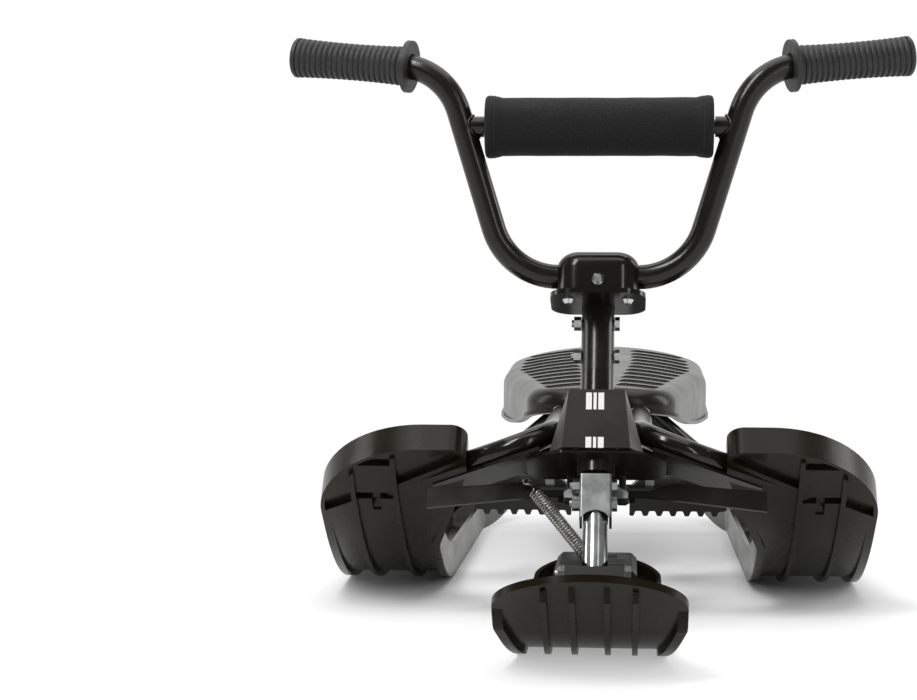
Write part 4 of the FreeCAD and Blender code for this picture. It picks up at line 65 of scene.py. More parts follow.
STEERING = [joint for joint in frame["joints"] if joint["name"] == "steering_turn"][0]
HEAD = Vector(STEERING["pos_m"])
AXIS = Vector(STEERING["axis"])
BACK = Vector((0, AXIS.z, -AXIS.y))
ACROSS = Vector((1, 0, 0))
UP = Vector((0, 0, 1))

# Camera at the place of the large front view, aimed at the middle of the picture

CAMERA_PLACE = Vector((0.02473, -2.10823, 0.25747))
CAMERA_FORWARD = Vector((-0.0735, 0.99703, -0.02292))
CAMERA_UP = Vector((-0.00659, 0.0225, 0.99973))
FOCAL_PIXELS = 2299.6
IMAGE_WIDTH = 917
SENSOR_WIDTH = 36
NEAREST, FURTHEST = 0.05, 60


def make_camera():
    data = bpy.data.cameras.new("camera")
    data.sensor_width = SENSOR_WIDTH
    data.lens = FOCAL_PIXELS * SENSOR_WIDTH / IMAGE_WIDTH
    data.clip_start = NEAREST
    data.clip_end = FURTHEST
    camera = bpy.data.objects.new("camera", data)
    scene.collection.objects.link(camera)
    right = CAMERA_FORWARD.cross(CAMERA_UP).normalized()
    up = right.cross(CAMERA_FORWARD).normalized()
    axes = Matrix((right, up, -CAMERA_FORWARD.normalized())).transposed()
    camera.matrix_world = Matrix.Translation(CAMERA_PLACE) @ axes.to_4x4()
    scene.camera = camera


# Materials: every one is built from nodes on object coordinates

class Look:
    """A principled material and short ways to build nodes for it."""

    def __init__(self, name):
        self.material = bpy.data.materials.new(name)
        self.material.use_nodes = True
        self.tree = self.material.node_tree
        self.shader = self.tree.nodes["Principled BSDF"]
        self.place = self.node("ShaderNodeTexCoord").outputs["Object"]

    def node(self, kind, **settings):
        thing = self.tree.nodes.new(kind)
        for key, value in settings.items():
            setattr(thing, key, value)
        return thing

    def link(self, source, target):
        self.tree.links.new(source, target)

    def feed(self, socket, value):
        if isinstance(value, bpy.types.NodeSocket):
            self.link(value, socket)
        else:
            socket.default_value = value

    def put(self, **values):
        """Plain values on the shader's own sockets, spaces written as underscores."""
        for key, value in values.items():
            self.shader.inputs[key.replace("_", " ")].default_value = value

    def math(self, operation, *values, clamp=False):
        thing = self.node("ShaderNodeMath", operation=operation, use_clamp=clamp)
        for socket, value in zip(thing.inputs, values):
            self.feed(socket, value)
        return thing.outputs[0]

    def product(self, first, second):
        return self.math("MULTIPLY", first, second)

    def total(self, first, second, clamp=False):
        return self.math("ADD", first, second, clamp=clamp)

    def vector(self, operation, first, second):
        thing = self.node("ShaderNodeVectorMath", operation=operation)
        self.feed(thing.inputs[0], first)
        self.feed(thing.inputs[1], second)
        return thing.outputs["Value" if operation == "DOT_PRODUCT" else "Vector"]

    def dot(self, first, second):
        return self.vector("DOT_PRODUCT", first, second)

    def inside(self, value, low, high):
        """1 where the value lies between low and high, 0 elsewhere."""
        above = self.math("GREATER_THAN", value, low)
        below = self.math("LESS_THAN", value, high)
        return self.product(above, below)

    def grain(self, scale, detail=2.0, stretch=None):
        """Noise between 0 and 1, at a number of features per metre."""
        place = self.place
        if stretch is not None:
            place = self.vector("MULTIPLY", place, stretch)
        thing = self.node("ShaderNodeTexNoise")
        thing.inputs["Scale"].default_value = scale
        thing.inputs["Detail"].default_value = detail
        self.link(place, thing.inputs["Vector"])
        return thing.outputs["Fac"]

    def cells(self, scale):
        """Distance to the nearest of a number of scattered points per metre."""
        thing = self.node("ShaderNodeTexVoronoi", feature="F1")
        thing.inputs["Scale"].default_value = scale
        self.link(self.place, thing.inputs["Vector"])
        return thing.outputs["Distance"]

    def between(self, value, low, high, start=0.3, end=0.7):
        """Low to high as the value goes from start to end, which suits the spread of noise."""
        thing = self.node("ShaderNodeMapRange")
        for key, number in (("From Min", start), ("From Max", end), ("To Min", low), ("To Max", high)):
            thing.inputs[key].default_value = number
        self.link(value, thing.inputs["Value"])
        return thing.outputs["Result"]

    def blend(self, share, first, second):
        """First colour where share is 0, second where it is 1."""
        thing = self.node("ShaderNodeMix", data_type="RGBA")
        colors = [socket for socket in thing.inputs if socket.type == "RGBA"]
        self.feed(thing.inputs["Factor"], share)
        self.feed(colors[0], first)
        self.feed(colors[1], second)
        return [socket for socket in thing.outputs if socket.type == "RGBA"][0]

    def shade(self, value, low, high):
        """From the low colour to the high one as a noise value rises."""
        return self.blend(self.between(value, 0, 1), tone(low), tone(high))

    def cloudy(self, low, high, scale, stretch=None):
        return self.shade(self.grain(scale, detail=4, stretch=stretch), low, high)

    def color(self, value):
        self.link(value, self.shader.inputs["Base Color"])

    def rough(self, value):
        self.link(value, self.shader.inputs["Roughness"])

    def bump(self, *layers):
        """Height layers as (value, strength, distance), one on the other."""
        normal = None
        for value, strength, distance in layers:
            thing = self.node("ShaderNodeBump")
            thing.inputs["Strength"].default_value = strength
            thing.inputs["Distance"].default_value = distance
            self.link(value, thing.inputs["Height"])
            if normal is not None:
                self.link(normal, thing.inputs["Normal"])
            normal = thing.outputs["Normal"]
        self.link(normal, self.shader.inputs["Normal"])


def tone(color):
    return (*color, 1)


def painted_steel(name, gloss):
    """Black powder coat: fine orange peel and a soft gloss."""
    look = Look(name)
    look.color(look.cloudy(low=(0.0048, 0.004, 0.0026), high=(0.0078, 0.0067, 0.005), scale=22))
    look.rough(look.between(look.grain(60, detail=3), *gloss))
    look.put(Specular_IOR_Level=0.4)
    peel = look.grain(420)
    waves = look.grain(35)
    look.bump((peel, 0.05, 0.0004), (waves, 0.02, 0.002))
    return look.material


def moulded_plastic(name, low, high, gloss, shine=0.4, flow=(1, 1, 1), fine=900, fine_strength=0.04):
    """Black injection-moulded plastic with faint flow marks and a fine surface."""
    look = Look(name)
    look.color(look.cloudy(low, high, scale=9, stretch=flow))
    look.rough(look.between(look.grain(30, detail=4, stretch=flow), *gloss))
    look.put(Specular_IOR_Level=shine)
    texture = look.grain(fine)
    sink = look.grain(7, stretch=flow)
    look.bump((texture, fine_strength, 0.0002), (sink, 0.02, 0.003))
    return look.material


# Crown of the seat: the line that its top is turned about, its radius and how far the flutes go down.
# A spot is on a flute's floor where it lies between two shares of that depth and faces away from the line

CROWN_POINT = Vector((0, 0.013093, -0.266349))
CROWN_SLOPE = math.radians(2.9)
CROWN_RADIUS = 0.439
FLUTE_DEPTH = 0.001
FLUTE_SHARES = (1.6, 0.5)
FLUTE_FACING = 0.985


def seat_plastic():
    """Glossy plastic, with a matte grain on the floors of the seat's flutes."""
    look = Look("seat_plastic")
    upward = Vector((0, -math.sin(CROWN_SLOPE), math.cos(CROWN_SLOPE)))
    offset = look.vector("SUBTRACT", look.place, CROWN_POINT)
    sideways = look.dot(offset, ACROSS)
    rise = look.dot(offset, upward)
    reach = look.math("SQRT", look.total(look.product(sideways, sideways), look.product(rise, rise)))
    normal = look.node("ShaderNodeNewGeometry").outputs["True Normal"]
    lean = look.total(look.product(look.dot(normal, ACROSS), sideways),
                      look.product(look.dot(normal, upward), rise))
    level = look.math("GREATER_THAN", look.math("DIVIDE", lean, reach), FLUTE_FACING)
    lowest, highest = (CROWN_RADIUS - share * FLUTE_DEPTH for share in FLUTE_SHARES)
    flute = look.product(level, look.inside(reach, lowest, highest))

    shiny = look.cloudy(low=(0.0075, 0.006, 0.0036), high=(0.011, 0.0092, 0.0064), scale=9)
    matte = look.cloudy(low=(0.0045, 0.0045, 0.0045), high=(0.009, 0.009, 0.0088), scale=120)
    look.color(look.blend(flute, shiny, matte))
    gloss = look.between(look.grain(30, detail=4), low=0.26, high=0.33)
    dull = look.between(look.grain(400, detail=3), low=0.85, high=0.95)
    crest = look.math("SUBTRACT", 1.0, flute)
    look.rough(look.total(look.product(dull, flute), look.product(gloss, crest)))
    look.put(Specular_IOR_Level=0.3)
    pebbles = look.product(look.cells(700), flute)
    texture = look.grain(900)
    look.bump((pebbles, 0.9, 0.0008), (texture, 0.03, 0.0002))
    return look.material


def bright_zinc(name, low, high, gloss, stretch, spangle=0.0):
    """Zinc plate on steel: cloudy brightness, fine drawing marks along one way."""
    look = Look(name)
    cloud = look.grain(70, detail=4)
    drawn = look.grain(260, detail=3, stretch=stretch)
    base = look.shade(cloud, low, high)
    if spangle:
        base = look.blend(look.product(look.cells(420), spangle), base, tone(high))
    look.color(base)
    patch = look.total(look.product(drawn, 0.5), look.product(cloud, 0.5))
    look.rough(look.between(patch, *gloss))
    look.put(Metallic=1.0)
    texture = look.grain(900)
    look.bump((drawn, 0.05, 0.0003), (texture, 0.04, 0.0002))
    return look.material


def grip_rubber():
    look = Look("ringed_rubber")
    look.color(look.cloudy(low=(0.012, 0.012, 0.0125), high=(0.021, 0.0205, 0.02), scale=90))
    look.rough(look.between(look.grain(300, detail=3), low=0.46, high=0.6))
    look.put(Specular_IOR_Level=0.45)
    texture = look.grain(1500)
    look.bump((texture, 0.16, 0.0003))
    return look.material


# Stripes of the head cover: a thin bar between two wide ones, in two rows along the steering axis,
# on the face that lies in front of the axis

STRIPE_SHIFT = 0.0012
THIN_BAR = 0.0012
WIDE_BARS = (0.0026, 0.0072)
UPPER_ROW = (0.0003, 0.0152)
LOWER_ROW = (-0.04, -0.0238)
STRIPED_FACE = -0.0242


def striped_cover():
    """The plastic of the head cover with a plain white racing stripe on its front face."""
    look = Look("striped_cover_plastic")
    offset = look.vector("SUBTRACT", look.place, HEAD)
    aside = look.math("ABSOLUTE", look.total(look.dot(offset, ACROSS), STRIPE_SHIFT))
    thin = look.math("LESS_THAN", aside, THIN_BAR)
    bars = look.total(look.inside(aside, *WIDE_BARS), thin, clamp=True)
    up = look.dot(offset, AXIS)
    rows = look.total(look.inside(up, *UPPER_ROW), look.inside(up, *LOWER_ROW), clamp=True)
    front = look.math("LESS_THAN", look.dot(offset, BACK), STRIPED_FACE)
    stripe = look.product(look.product(bars, rows), front)
    black = look.cloudy(low=(0.0095, 0.008, 0.0055), high=(0.0145, 0.0125, 0.0095), scale=18)
    white = look.shade(look.grain(700, detail=3), low=(0.66, 0.66, 0.64), high=(0.8, 0.8, 0.78))
    look.color(look.blend(stripe, black, white))
    look.rough(look.between(look.grain(45, detail=4), low=0.32, high=0.42))
    look.put(Specular_IOR_Level=0.35)
    texture = look.grain(900)
    look.bump((texture, 0.06, 0.00025), (stripe, 0.2, 0.0001))
    return look.material


# Weave of the pad's cover

THREAD_PITCH = 0.0023


def pad_fabric():
    """Black woven cover: a basket weave on the pad's own grid, with a soft sheen."""
    look = Look("woven_pad_cover")
    split = look.node("ShaderNodeSeparateXYZ")
    look.link(look.node("ShaderNodeUVMap", uv_map="weave").outputs["UV"], split.inputs["Vector"])
    threads = FULL_TURN / THREAD_PITCH
    warp = look.math("SINE", look.product(split.outputs["X"], threads))
    weft = look.math("SINE", look.product(split.outputs["Y"], threads))
    weave = look.total(look.product(look.product(warp, weft), 0.5), 0.5)
    # The weave's hollows get a darker colour than its crests: painted shade between the threads
    painted_shade_hollows = look.cloudy(low=(0.0028, 0.0028, 0.0028), high=(0.0055, 0.0055, 0.0054), scale=40)
    crests = tone((0.011, 0.011, 0.011))
    look.color(look.blend(weave, painted_shade_hollows, crests))
    look.rough(look.between(look.grain(500, detail=3), low=0.62, high=0.8))
    look.put(Specular_IOR_Level=0.18, Sheen_Weight=0.05, Sheen_Roughness=0.5)
    lumps = look.grain(60, detail=3)
    look.bump((weave, 0.5, 0.0004), (lumps, 0.1, 0.001))
    return look.material


def rough_stuff(name, low, high, scale, gloss, strength):
    """Foam, thread or the painted shade of a screw's cross recess: a rough surface that is all grain."""
    look = Look(name)
    spots = look.grain(scale, detail=3)
    look.color(look.shade(spots, low, high))
    look.rough(look.between(spots, *gloss))
    look.bump((spots, strength, 0.0005))
    return look.material


def dress_nodes():
    """Give every CAD node its finish; a node that no group names is coated steel."""
    steel = painted_steel("black_powder_coat", gloss=(0.2, 0.27))
    rail = painted_steel("rail_powder_coat", gloss=(0.13, 0.19))
    dark, light, along = (0.0075, 0.0058, 0.002), (0.0115, 0.0093, 0.005), (1, 0.3, 1)
    ski = moulded_plastic("ski_plastic", dark, light, gloss=(0.22, 0.3), shine=0.18, flow=along)
    blade = moulded_plastic("front_ski_plastic", dark, light, gloss=(0.24, 0.32), shine=0.05, flow=along)
    seat = seat_plastic()
    cover = moulded_plastic("cover_plastic", low=(0.0045, 0.0036, 0.0022), high=(0.0072, 0.0061, 0.0044),
                            gloss=(0.16, 0.23))
    satin = moulded_plastic("satin_plastic", low=(0.007, 0.0063, 0.005), high=(0.012, 0.0112, 0.0098),
                            gloss=(0.34, 0.44), shine=0.25, fine=1400, fine_strength=0.1)
    sheet = bright_zinc("zinc_sheet", low=(0.19, 0.205, 0.2), high=(0.35, 0.365, 0.355),
                        gloss=(0.32, 0.44), stretch=(1, 1, 0.15), spangle=0.5)
    tube = bright_zinc("zinc_tube", low=(0.62, 0.63, 0.63), high=(0.78, 0.79, 0.79),
                       gloss=(0.16, 0.26), stretch=(1, 1, 0.06))
    bolt = bright_zinc("zinc_bolts", low=(0.5, 0.51, 0.51), high=(0.74, 0.75, 0.74),
                       gloss=(0.22, 0.36), stretch=(1, 1, 1))
    oxide = moulded_plastic("black_oxide", low=(0.01, 0.01, 0.011), high=(0.02, 0.0195, 0.019),
                            gloss=(0.34, 0.48), fine_strength=0.1)
    groups = (
        (rail, ("main_rail_left", "main_rail_right")),
        (ski, ("ski_left", "ski_right")),
        (blade, ("front_ski_blade", "tow_knob")),
        (seat, ("seat_shell",)),
        (cover, ("stem_cover", "stem_lower_cover", "head_bush_upper", "head_bush_lower")),
        (satin, ("front_ski_tower",)),
        (sheet, ("fork_bracket",)),
        (tube, ("lower_tube",)),
        (bolt, ("column_bolts", "column_nuts", "fork_bolts", "fork_nuts", "pivot_bolt", "pivot_nut",
                "stem_screws", "seat_screws", "strut_screws", "front_tower_screws", "brake_axle")),
        (oxide, ("cross_bolts",)),
        (grip_rubber(), ("grip_left", "grip_right")),
        (striped_cover(), ("head_cover",)))
    finishes = {name: finish for finish, names in groups for name in names}
    for name, thing in NODES.items():
        thing.data.materials.clear()
        thing.data.materials.append(finishes.get(name, steel))
    return steel


# Pieces made here

def piece(name, verts, faces, material):
    data = bpy.data.meshes.new(name)
    data.from_pydata([tuple(v) for v in verts], [], faces)
    data.materials.append(material)
    for polygon in data.polygons:
        polygon.use_smooth = True
    data.update()
    thing = bpy.data.objects.new(name, data)
    scene.collection.objects.link(thing)
    return thing


def bands(rows, sides, faces):
    """Quads between neighbouring rings, each a list of vertex numbers."""
    for row, following in zip(rows, rows[1:]):
        for step in range(sides):
            after = (step + 1) % sides
            faces.append((row[step], row[after], following[after], following[step]))


def join(verts, faces, more, sheets):
    """Add one closed shape to the lists of a piece."""
    base = len(verts)
    verts += more
    faces += [tuple(base + corner for corner in sheet) for sheet in sheets]


def swept_tube(points, radius, sides):
    """Vertices and faces of a round tube along points, with closed ends."""
    points = [Vector(point) for point in points]
    count = len(points)
    before = points[:1] + points[:-1]
    after = points[1:] + points[-1:]
    ways = [(last - first).normalized() for first, last in zip(before, after)]
    out = ways[0].orthogonal().normalized()
    verts, faces = [], []
    for point, way in zip(points, ways):
        out = (out - way * out.dot(way)).normalized()
        other = way.cross(out)
        for step in range(sides):
            angle = FULL_TURN * step / sides
            verts.append(point + (out * math.cos(angle) + other * math.sin(angle)) * radius)
    bands([[ring * sides + step for step in range(sides)] for ring in range(count)], sides, faces)
    faces.append(tuple(reversed(range(sides))))
    faces.append(tuple((count - 1) * sides + step for step in range(sides)))
    return verts, faces


def curve(start, start_way, stop, stop_way, steps=12):
    """Points of a cubic from start to stop, without start itself; the ways carry their pull."""
    points = []
    for step in range(1, steps + 1):
        share = step / steps
        rest = 1 - share
        points.append(start * rest ** 3 + (start + start_way) * 3 * rest ** 2 * share
                      + (stop - stop_way) * 3 * rest * share ** 2 + stop * share ** 3)
    return points


# Filling of a soft piece

FILL_FRAMES = 20
FILL_PRESSURE = 12
CLOTH_QUALITY = 5
CLOTH_MASS = 0.3
TINY = 1e-9


def swell(thing, held, cap):
    """Fill the cover like cloth under pressure; held points stay, and no point moves further than cap."""
    group = thing.vertex_groups.new(name="held")
    group.add(held, 1.0, "REPLACE")
    start = [vertex.co.copy() for vertex in thing.data.vertices]
    cloth = thing.modifiers.new("filling", "CLOTH")
    cloth.settings.quality = CLOTH_QUALITY
    cloth.settings.mass = CLOTH_MASS
    cloth.settings.vertex_group_mass = "held"
    cloth.settings.use_pressure = True
    cloth.settings.uniform_pressure_force = FILL_PRESSURE
    cloth.settings.effector_weights.gravity = 0
    cloth.point_cache.frame_end = FILL_FRAMES
    for number in range(1, FILL_FRAMES + 1):
        scene.frame_set(number)
    filled = thing.evaluated_get(bpy.context.evaluated_depsgraph_get())
    ends = [vertex.co.copy() for vertex in filled.data.vertices]
    thing.modifiers.remove(cloth)
    thing.vertex_groups.remove(group)
    scene.frame_set(1)
    for vertex, first, last in zip(thing.data.vertices, start, ends):
        moved = last - first
        vertex.co = first + moved * min(1.0, cap / max(moved.length, TINY))


# Pad: the sleeve lies an inset and a slack inside its solid until it is filled, has a sewn hem and a rolled
# edge at each end, and closes behind with a flap whose step fades round the pad

PAD_RINGS, PAD_SIDES = 96, 120
PAD_INSET = 0.0014
PAD_SLACK = 0.0018
SLACK_RUN = 0.006
SPARE_CAP = 0.0006
HEM = 0.008
EDGE_RADIUS = 0.0035
EDGE_ROLL = 0.9
SEAM_DEPTH, SEAM_WIDTH = 0.0006, 0.0012
FLAP_ANGLE = math.radians(25)
FLAP_STEP, FLAP_FADE = 0.0009, 0.5
DENTS_ALONG, DENTS_ROUND = 14, 1.4
DENT_DEPTH, SMALL_DENT_DEPTH, SMALL_DENT_SCALE = 0.0006, 0.0003, 3.1

# Ends of the sleeve, turned in to the hole for the crossbar, as share of the rim and depth.
# The rings after the first two are bare foam

PAD_HOLE = 0.0063
TURNED_IN = ((0.94, 0.0004), (0.86, 0.0016), (0.6, 0.002), (0.3, 0.002), (0.0, 0.0018))
CLOTH_RINGS = 2

# Stitches of a hem: how many, how much of its pitch each one covers, and its form

STITCHES = 66
STITCH_SHARE = 0.62
STITCH_STEPS = 4
STITCH_RISE = 0.0003
THREAD_RADIUS, THREAD_SIDES = 0.00032, 6


class Pad:
    """The foam pad round the crossbar: its measures from the solid, and the form of its empty sleeve."""

    def __init__(self):
        low, high = (Vector(corner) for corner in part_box("crossbar_pad"))
        self.middle = (low + high) / 2
        self.radius = (high.z - low.z) / 2
        self.half = (high.x - low.x) / 2

    def skin(self, x, angle):
        """Distance of the unfilled sleeve from the middle line."""
        inward = self.half - abs(x)
        spot = Vector((x * DENTS_ALONG, math.cos(angle) * DENTS_ROUND, math.sin(angle) * DENTS_ROUND))
        small = noise.noise(spot * SMALL_DENT_SCALE) * SMALL_DENT_DEPTH
        soft = noise.noise(spot) * DENT_DEPTH + small
        stitched = -SEAM_DEPTH * math.exp(-((inward - HEM) / SEAM_WIDTH) ** 2)
        turn = (angle - FLAP_ANGLE) % FULL_TURN
        step = FLAP_STEP * (1 - turn / FLAP_FADE) if turn < FLAP_FADE else 0.0
        rolled = 0.0
        if inward < EDGE_RADIUS:
            rolled = EDGE_RADIUS - math.sqrt(max(EDGE_RADIUS ** 2 - (EDGE_RADIUS - inward) ** 2, 0))
        tucked = PAD_SLACK * min(1.0, max(0.0, (inward - HEM) / SLACK_RUN))
        return self.radius - PAD_INSET - tucked + soft + stitched + step - rolled * EDGE_ROLL

    def around(self, x, reach, angle):
        return self.middle + Vector((x, reach * math.cos(angle), reach * math.sin(angle)))


def make_pad(pad):
    """The pad's cover: a filled fabric sleeve with hems, a rear flap and foam ends."""
    verts, faces, grid, held = [], [], [], []
    rows = []
    angles = [FULL_TURN * step / PAD_SIDES for step in range(PAD_SIDES)]
    for ring in range(PAD_RINGS + 1):
        x = pad.half * math.sin((ring / PAD_RINGS - 0.5) * math.pi)
        rows.append(list(range(len(verts), len(verts) + PAD_SIDES)))
        for angle in angles:
            if pad.half - abs(x) <= HEM:
                held.append(len(verts))
            verts.append(pad.around(x, pad.skin(x, angle), angle))
            grid.append((x, angle * pad.radius))
    bands(rows, PAD_SIDES, faces)
    sleeve_faces = len(faces)

    for side, rim in ((-1, rows[0]), (1, rows[-1])):
        ends = [rim]
        for share, depth in TURNED_IN:
            ends.append(list(range(len(verts), len(verts) + PAD_SIDES)))
            for angle, corner in zip(angles, rim):
                wide = math.hypot(*(verts[corner] - pad.middle).yz)
                reach = PAD_HOLE + (wide - PAD_HOLE) * share
                held.append(len(verts))
                verts.append(pad.around(side * (pad.half - depth), reach, angle))
                grid.append((pad.half + wide - reach, angle * pad.radius))
        bands(ends, PAD_SIDES, faces)

    foam = rough_stuff("black_foam", low=(0.006, 0.006, 0.006), high=(0.02, 0.02, 0.02), scale=700,
                       gloss=(0.8, 0.95), strength=0.6)
    cover = piece("crossbar_pad_cover", verts, faces, pad_fabric())
    cover.data.materials.append(foam)
    layer = cover.data.uv_layers.new(name="weave")
    for loop in cover.data.loops:
        layer.data[loop.index].uv = grid[loop.vertex_index]
    end_faces = len(TURNED_IN) * PAD_SIDES
    for start in (sleeve_faces, sleeve_faces + end_faces):
        for index in range(start + CLOTH_RINGS * PAD_SIDES, start + end_faces):
            cover.data.polygons[index].material_index = 1
    mesh = bmesh.new()
    mesh.from_mesh(cover.data)
    bmesh.ops.recalc_face_normals(mesh, faces=mesh.faces)
    mesh.to_mesh(cover.data)
    mesh.free()
    swell(cover, held, PAD_SLACK + SPARE_CAP)
    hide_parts("crossbar_pad")
    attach(cover, "steering")


def make_stitches(pad):
    """A row of short stitches in each hem of the pad."""
    verts, faces = [], []
    for side in (-1, 1):
        x = side * (pad.half - HEM)
        for index in range(STITCHES):
            points = []
            for step in range(STITCH_STEPS + 1):
                angle = FULL_TURN * (index + STITCH_SHARE * step / STITCH_STEPS) / STITCHES
                rise = STITCH_RISE * math.sin(math.pi * step / STITCH_STEPS)
                points.append(pad.around(x, pad.skin(x, angle) + rise, angle))
            join(verts, faces, *swept_tube(points, THREAD_RADIUS, THREAD_SIDES))
    thread = rough_stuff("black_thread", low=(0.01, 0.01, 0.01), high=(0.03, 0.03, 0.031), scale=1200,
                         gloss=(0.55, 0.75), strength=0.3)
    seam = piece("pad_hem_stitches", verts, faces, thread)
    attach(seam, "steering")


# Return spring: the places of its peg and of the eye in its lug, and the coil between them

PEG_ASIDE, PEG_BEHIND, PEG_BELOW = 0.055, 0.012, 0.0481
EYE_BEHIND, EYE_BELOW = 0.016, 0.112983
SPRING_PEG = HEAD - ACROSS * PEG_ASIDE + BACK * PEG_BEHIND - AXIS * PEG_BELOW
SPRING_EYE = HEAD + BACK * EYE_BEHIND - AXIS * EYE_BELOW
WIRE_RADIUS, WIRE_SIDES = 0.00075, 10
COIL_DIAMETER = 0.011
COIL_TURNS, TURN_STEPS = 26, 20
COIL_LEAD = 0.010
EYE_MARGIN = 0.0035

# Its upper hook is most of a ring, and its lower one goes through the eye and bends up behind it

RING_BACK, RING_RADIUS = 0.0018, 0.0025
RING_START, RING_SWEEP, RING_STEPS = 60, 270, 18
HOOK_BEFORE, HOOK_BEHIND = 0.003, 0.0026
HOOK_RADIUS, HOOK_SWEEP, HOOK_STEPS = 0.0022, 150, 8
HOOK_PULL, COIL_PULL = 0.004, 0.005


def make_spring():
    """The return spring: a coil with one hook round the peg and one through the eye of the lug."""
    upper = SPRING_PEG
    lower = SPRING_EYE - ACROSS * EYE_MARGIN
    way = (lower - upper).normalized()
    side = way.cross(UP).normalized()
    other = way.cross(side)
    radius = COIL_DIAMETER / 2 - WIRE_RADIUS
    span = (lower - upper).length - 2 * COIL_LEAD

    def coil(turn):
        angle = FULL_TURN * turn
        out = (side * math.cos(angle) + other * math.sin(angle)) * radius
        return upper + way * (COIL_LEAD + span * turn / COIL_TURNS) + out

    def coil_way(turn):
        angle = FULL_TURN * turn
        return other * math.cos(angle) - side * math.sin(angle)

    ring = upper - way * RING_BACK
    flat = way.cross(BACK).normalized()
    points = []
    for step in range(RING_STEPS + 1):
        angle = math.radians(RING_START + RING_SWEEP * step / RING_STEPS)
        points.append(ring + (way * math.cos(angle) + flat * math.sin(angle)) * RING_RADIUS)
    angle = math.radians(RING_START + RING_SWEEP)
    leave = flat * math.cos(angle) - way * math.sin(angle)
    points += curve(points[-1], leave * HOOK_PULL, coil(0), coil_way(0) * COIL_PULL)
    for step in range(1, COIL_TURNS * TURN_STEPS + 1):
        points.append(coil(step / TURN_STEPS))
    points += curve(points[-1], coil_way(COIL_TURNS) * COIL_PULL,
                    SPRING_EYE - ACROSS * HOOK_BEFORE, ACROSS * HOOK_PULL)
    rise = (ACROSS * way.dot(ACROSS) - way).normalized()
    turn_back = SPRING_EYE + ACROSS * HOOK_BEHIND
    points.append(turn_back)
    for step in range(1, HOOK_STEPS + 1):
        angle = math.radians(HOOK_SWEEP * step / HOOK_STEPS)
        points.append(turn_back + (ACROSS * math.sin(angle) + rise * (1 - math.cos(angle))) * HOOK_RADIUS)
    steel = bright_zinc("spring_wire", low=(0.3, 0.29, 0.275), high=(0.5, 0.49, 0.47),
                        gloss=(0.22, 0.34), stretch=(1, 1, 1))
    spring = piece("return_spring_coil", *swept_tube(points, WIRE_RADIUS, WIRE_SIDES), steel)
    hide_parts("return_spring")
    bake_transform(spring)


# Screw heads are found in the solids: the rim is what lies near the greatest distance from a screw's axis

MERGE_DISTANCE = 1e-6
AXIS_ROUNDS = 12
RIM_SHARE = 0.9

# The cross is a dark box set into and a little proud of each head: painted shade for a recess
# Cross recess: floor and top from the top of the head, half length and half width as shares of its radius

RECESS_LEVELS = (-0.0012, 0.00012)
RECESS_LENGTH, RECESS_WIDTH = 0.5, 0.14
RECESSED = (("stem_screws", "steering"), ("front_tower_screws", "front_ski"), ("strut_screws", "frame"))
BOX_CORNERS = ((-1, -1), (1, -1), (1, 1), (-1, 1))
BOX_SHEETS = ((3, 2, 1, 0), (4, 5, 6, 7), (0, 1, 5, 4), (1, 2, 6, 5), (2, 3, 7, 6), (3, 0, 4, 7))


def screw_heads(name):
    """Top middle, outward way and radius of each screw head in a node."""
    mesh = bmesh.new()
    mesh.from_mesh(NODES[name].data)
    bmesh.ops.remove_doubles(mesh, verts=mesh.verts, dist=MERGE_DISTANCE)
    mesh.verts.index_update()
    seen = set()
    heads = []
    for start in mesh.verts:
        if start.index in seen:
            continue
        seen.add(start.index)
        spots, fresh = [], [start]
        while fresh:
            vertex = fresh.pop()
            spots.append(vertex.co.copy())
            for line in vertex.link_edges:
                following = line.other_vert(vertex)
                if following.index not in seen:
                    seen.add(following.index)
                    fresh.append(following)
        heads.append(screw_head(spots))
    mesh.free()
    return heads


def screw_head(spots):
    """Top middle, outward way and radius of the head of one screw, from its vertices."""
    first = max(spots, key=lambda spot: (spot - spots[0]).length)
    last = max(spots, key=lambda spot: (spot - first).length)
    middle = sum(spots, Vector()) / len(spots)
    way = (last - first).normalized()
    arms = [spot - middle for spot in spots]
    for _ in range(AXIS_ROUNDS):
        spread = sum((arm * arm.dot(way) for arm in arms), Vector())
        way = spread.normalized()
    reaches = [(arm - way * arm.dot(way)).length for arm in arms]
    wide = max(reaches)
    rim = [arm for arm, reach in zip(arms, reaches) if reach > RIM_SHARE * wide]
    if sum(arm.dot(way) for arm in rim) < 0:
        way = -way
    top = max(arm.dot(way) for arm in arms)
    return middle + way * top, way, wide


def make_recess_shades():
    """A dark cross on the top of each screw head that shows: painted shade standing for its cross recess.
    """
    dark = rough_stuff("screw_recess", low=(0.004, 0.004, 0.004), high=(0.014, 0.014, 0.014), scale=900,
                       gloss=(0.5, 0.7), strength=0.2)
    for name, body in RECESSED:
        verts, faces = [], []
        for top, way, wide in screw_heads(name):
            out = way.orthogonal().normalized()
            other = way.cross(out)
            for long, short in ((out, other), (other, out)):
                length = long * wide * RECESS_LENGTH
                width = short * wide * RECESS_WIDTH
                corners = [top + way * level + length * a + width * b
                           for level in RECESS_LEVELS for a, b in BOX_CORNERS]
                join(verts, faces, corners, BOX_SHEETS)
        thing = piece(name + "_recess", verts, faces, dark)
        for polygon in thing.data.polygons:
            polygon.use_smooth = False
        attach(thing, body)


# Weld beads: the rays that find the handlebar start a little outside the crossbar

BEAD_RADIUS, BEAD_SIDES = 0.0013, 10
BEAD_STEPS, BEAD_OVERRUN = 40, 2
RAY_MARGIN = 0.0004
BEAD_LIFT = 0.0002
RIPPLE_HEIGHT, RIPPLES = 0.0003, 9


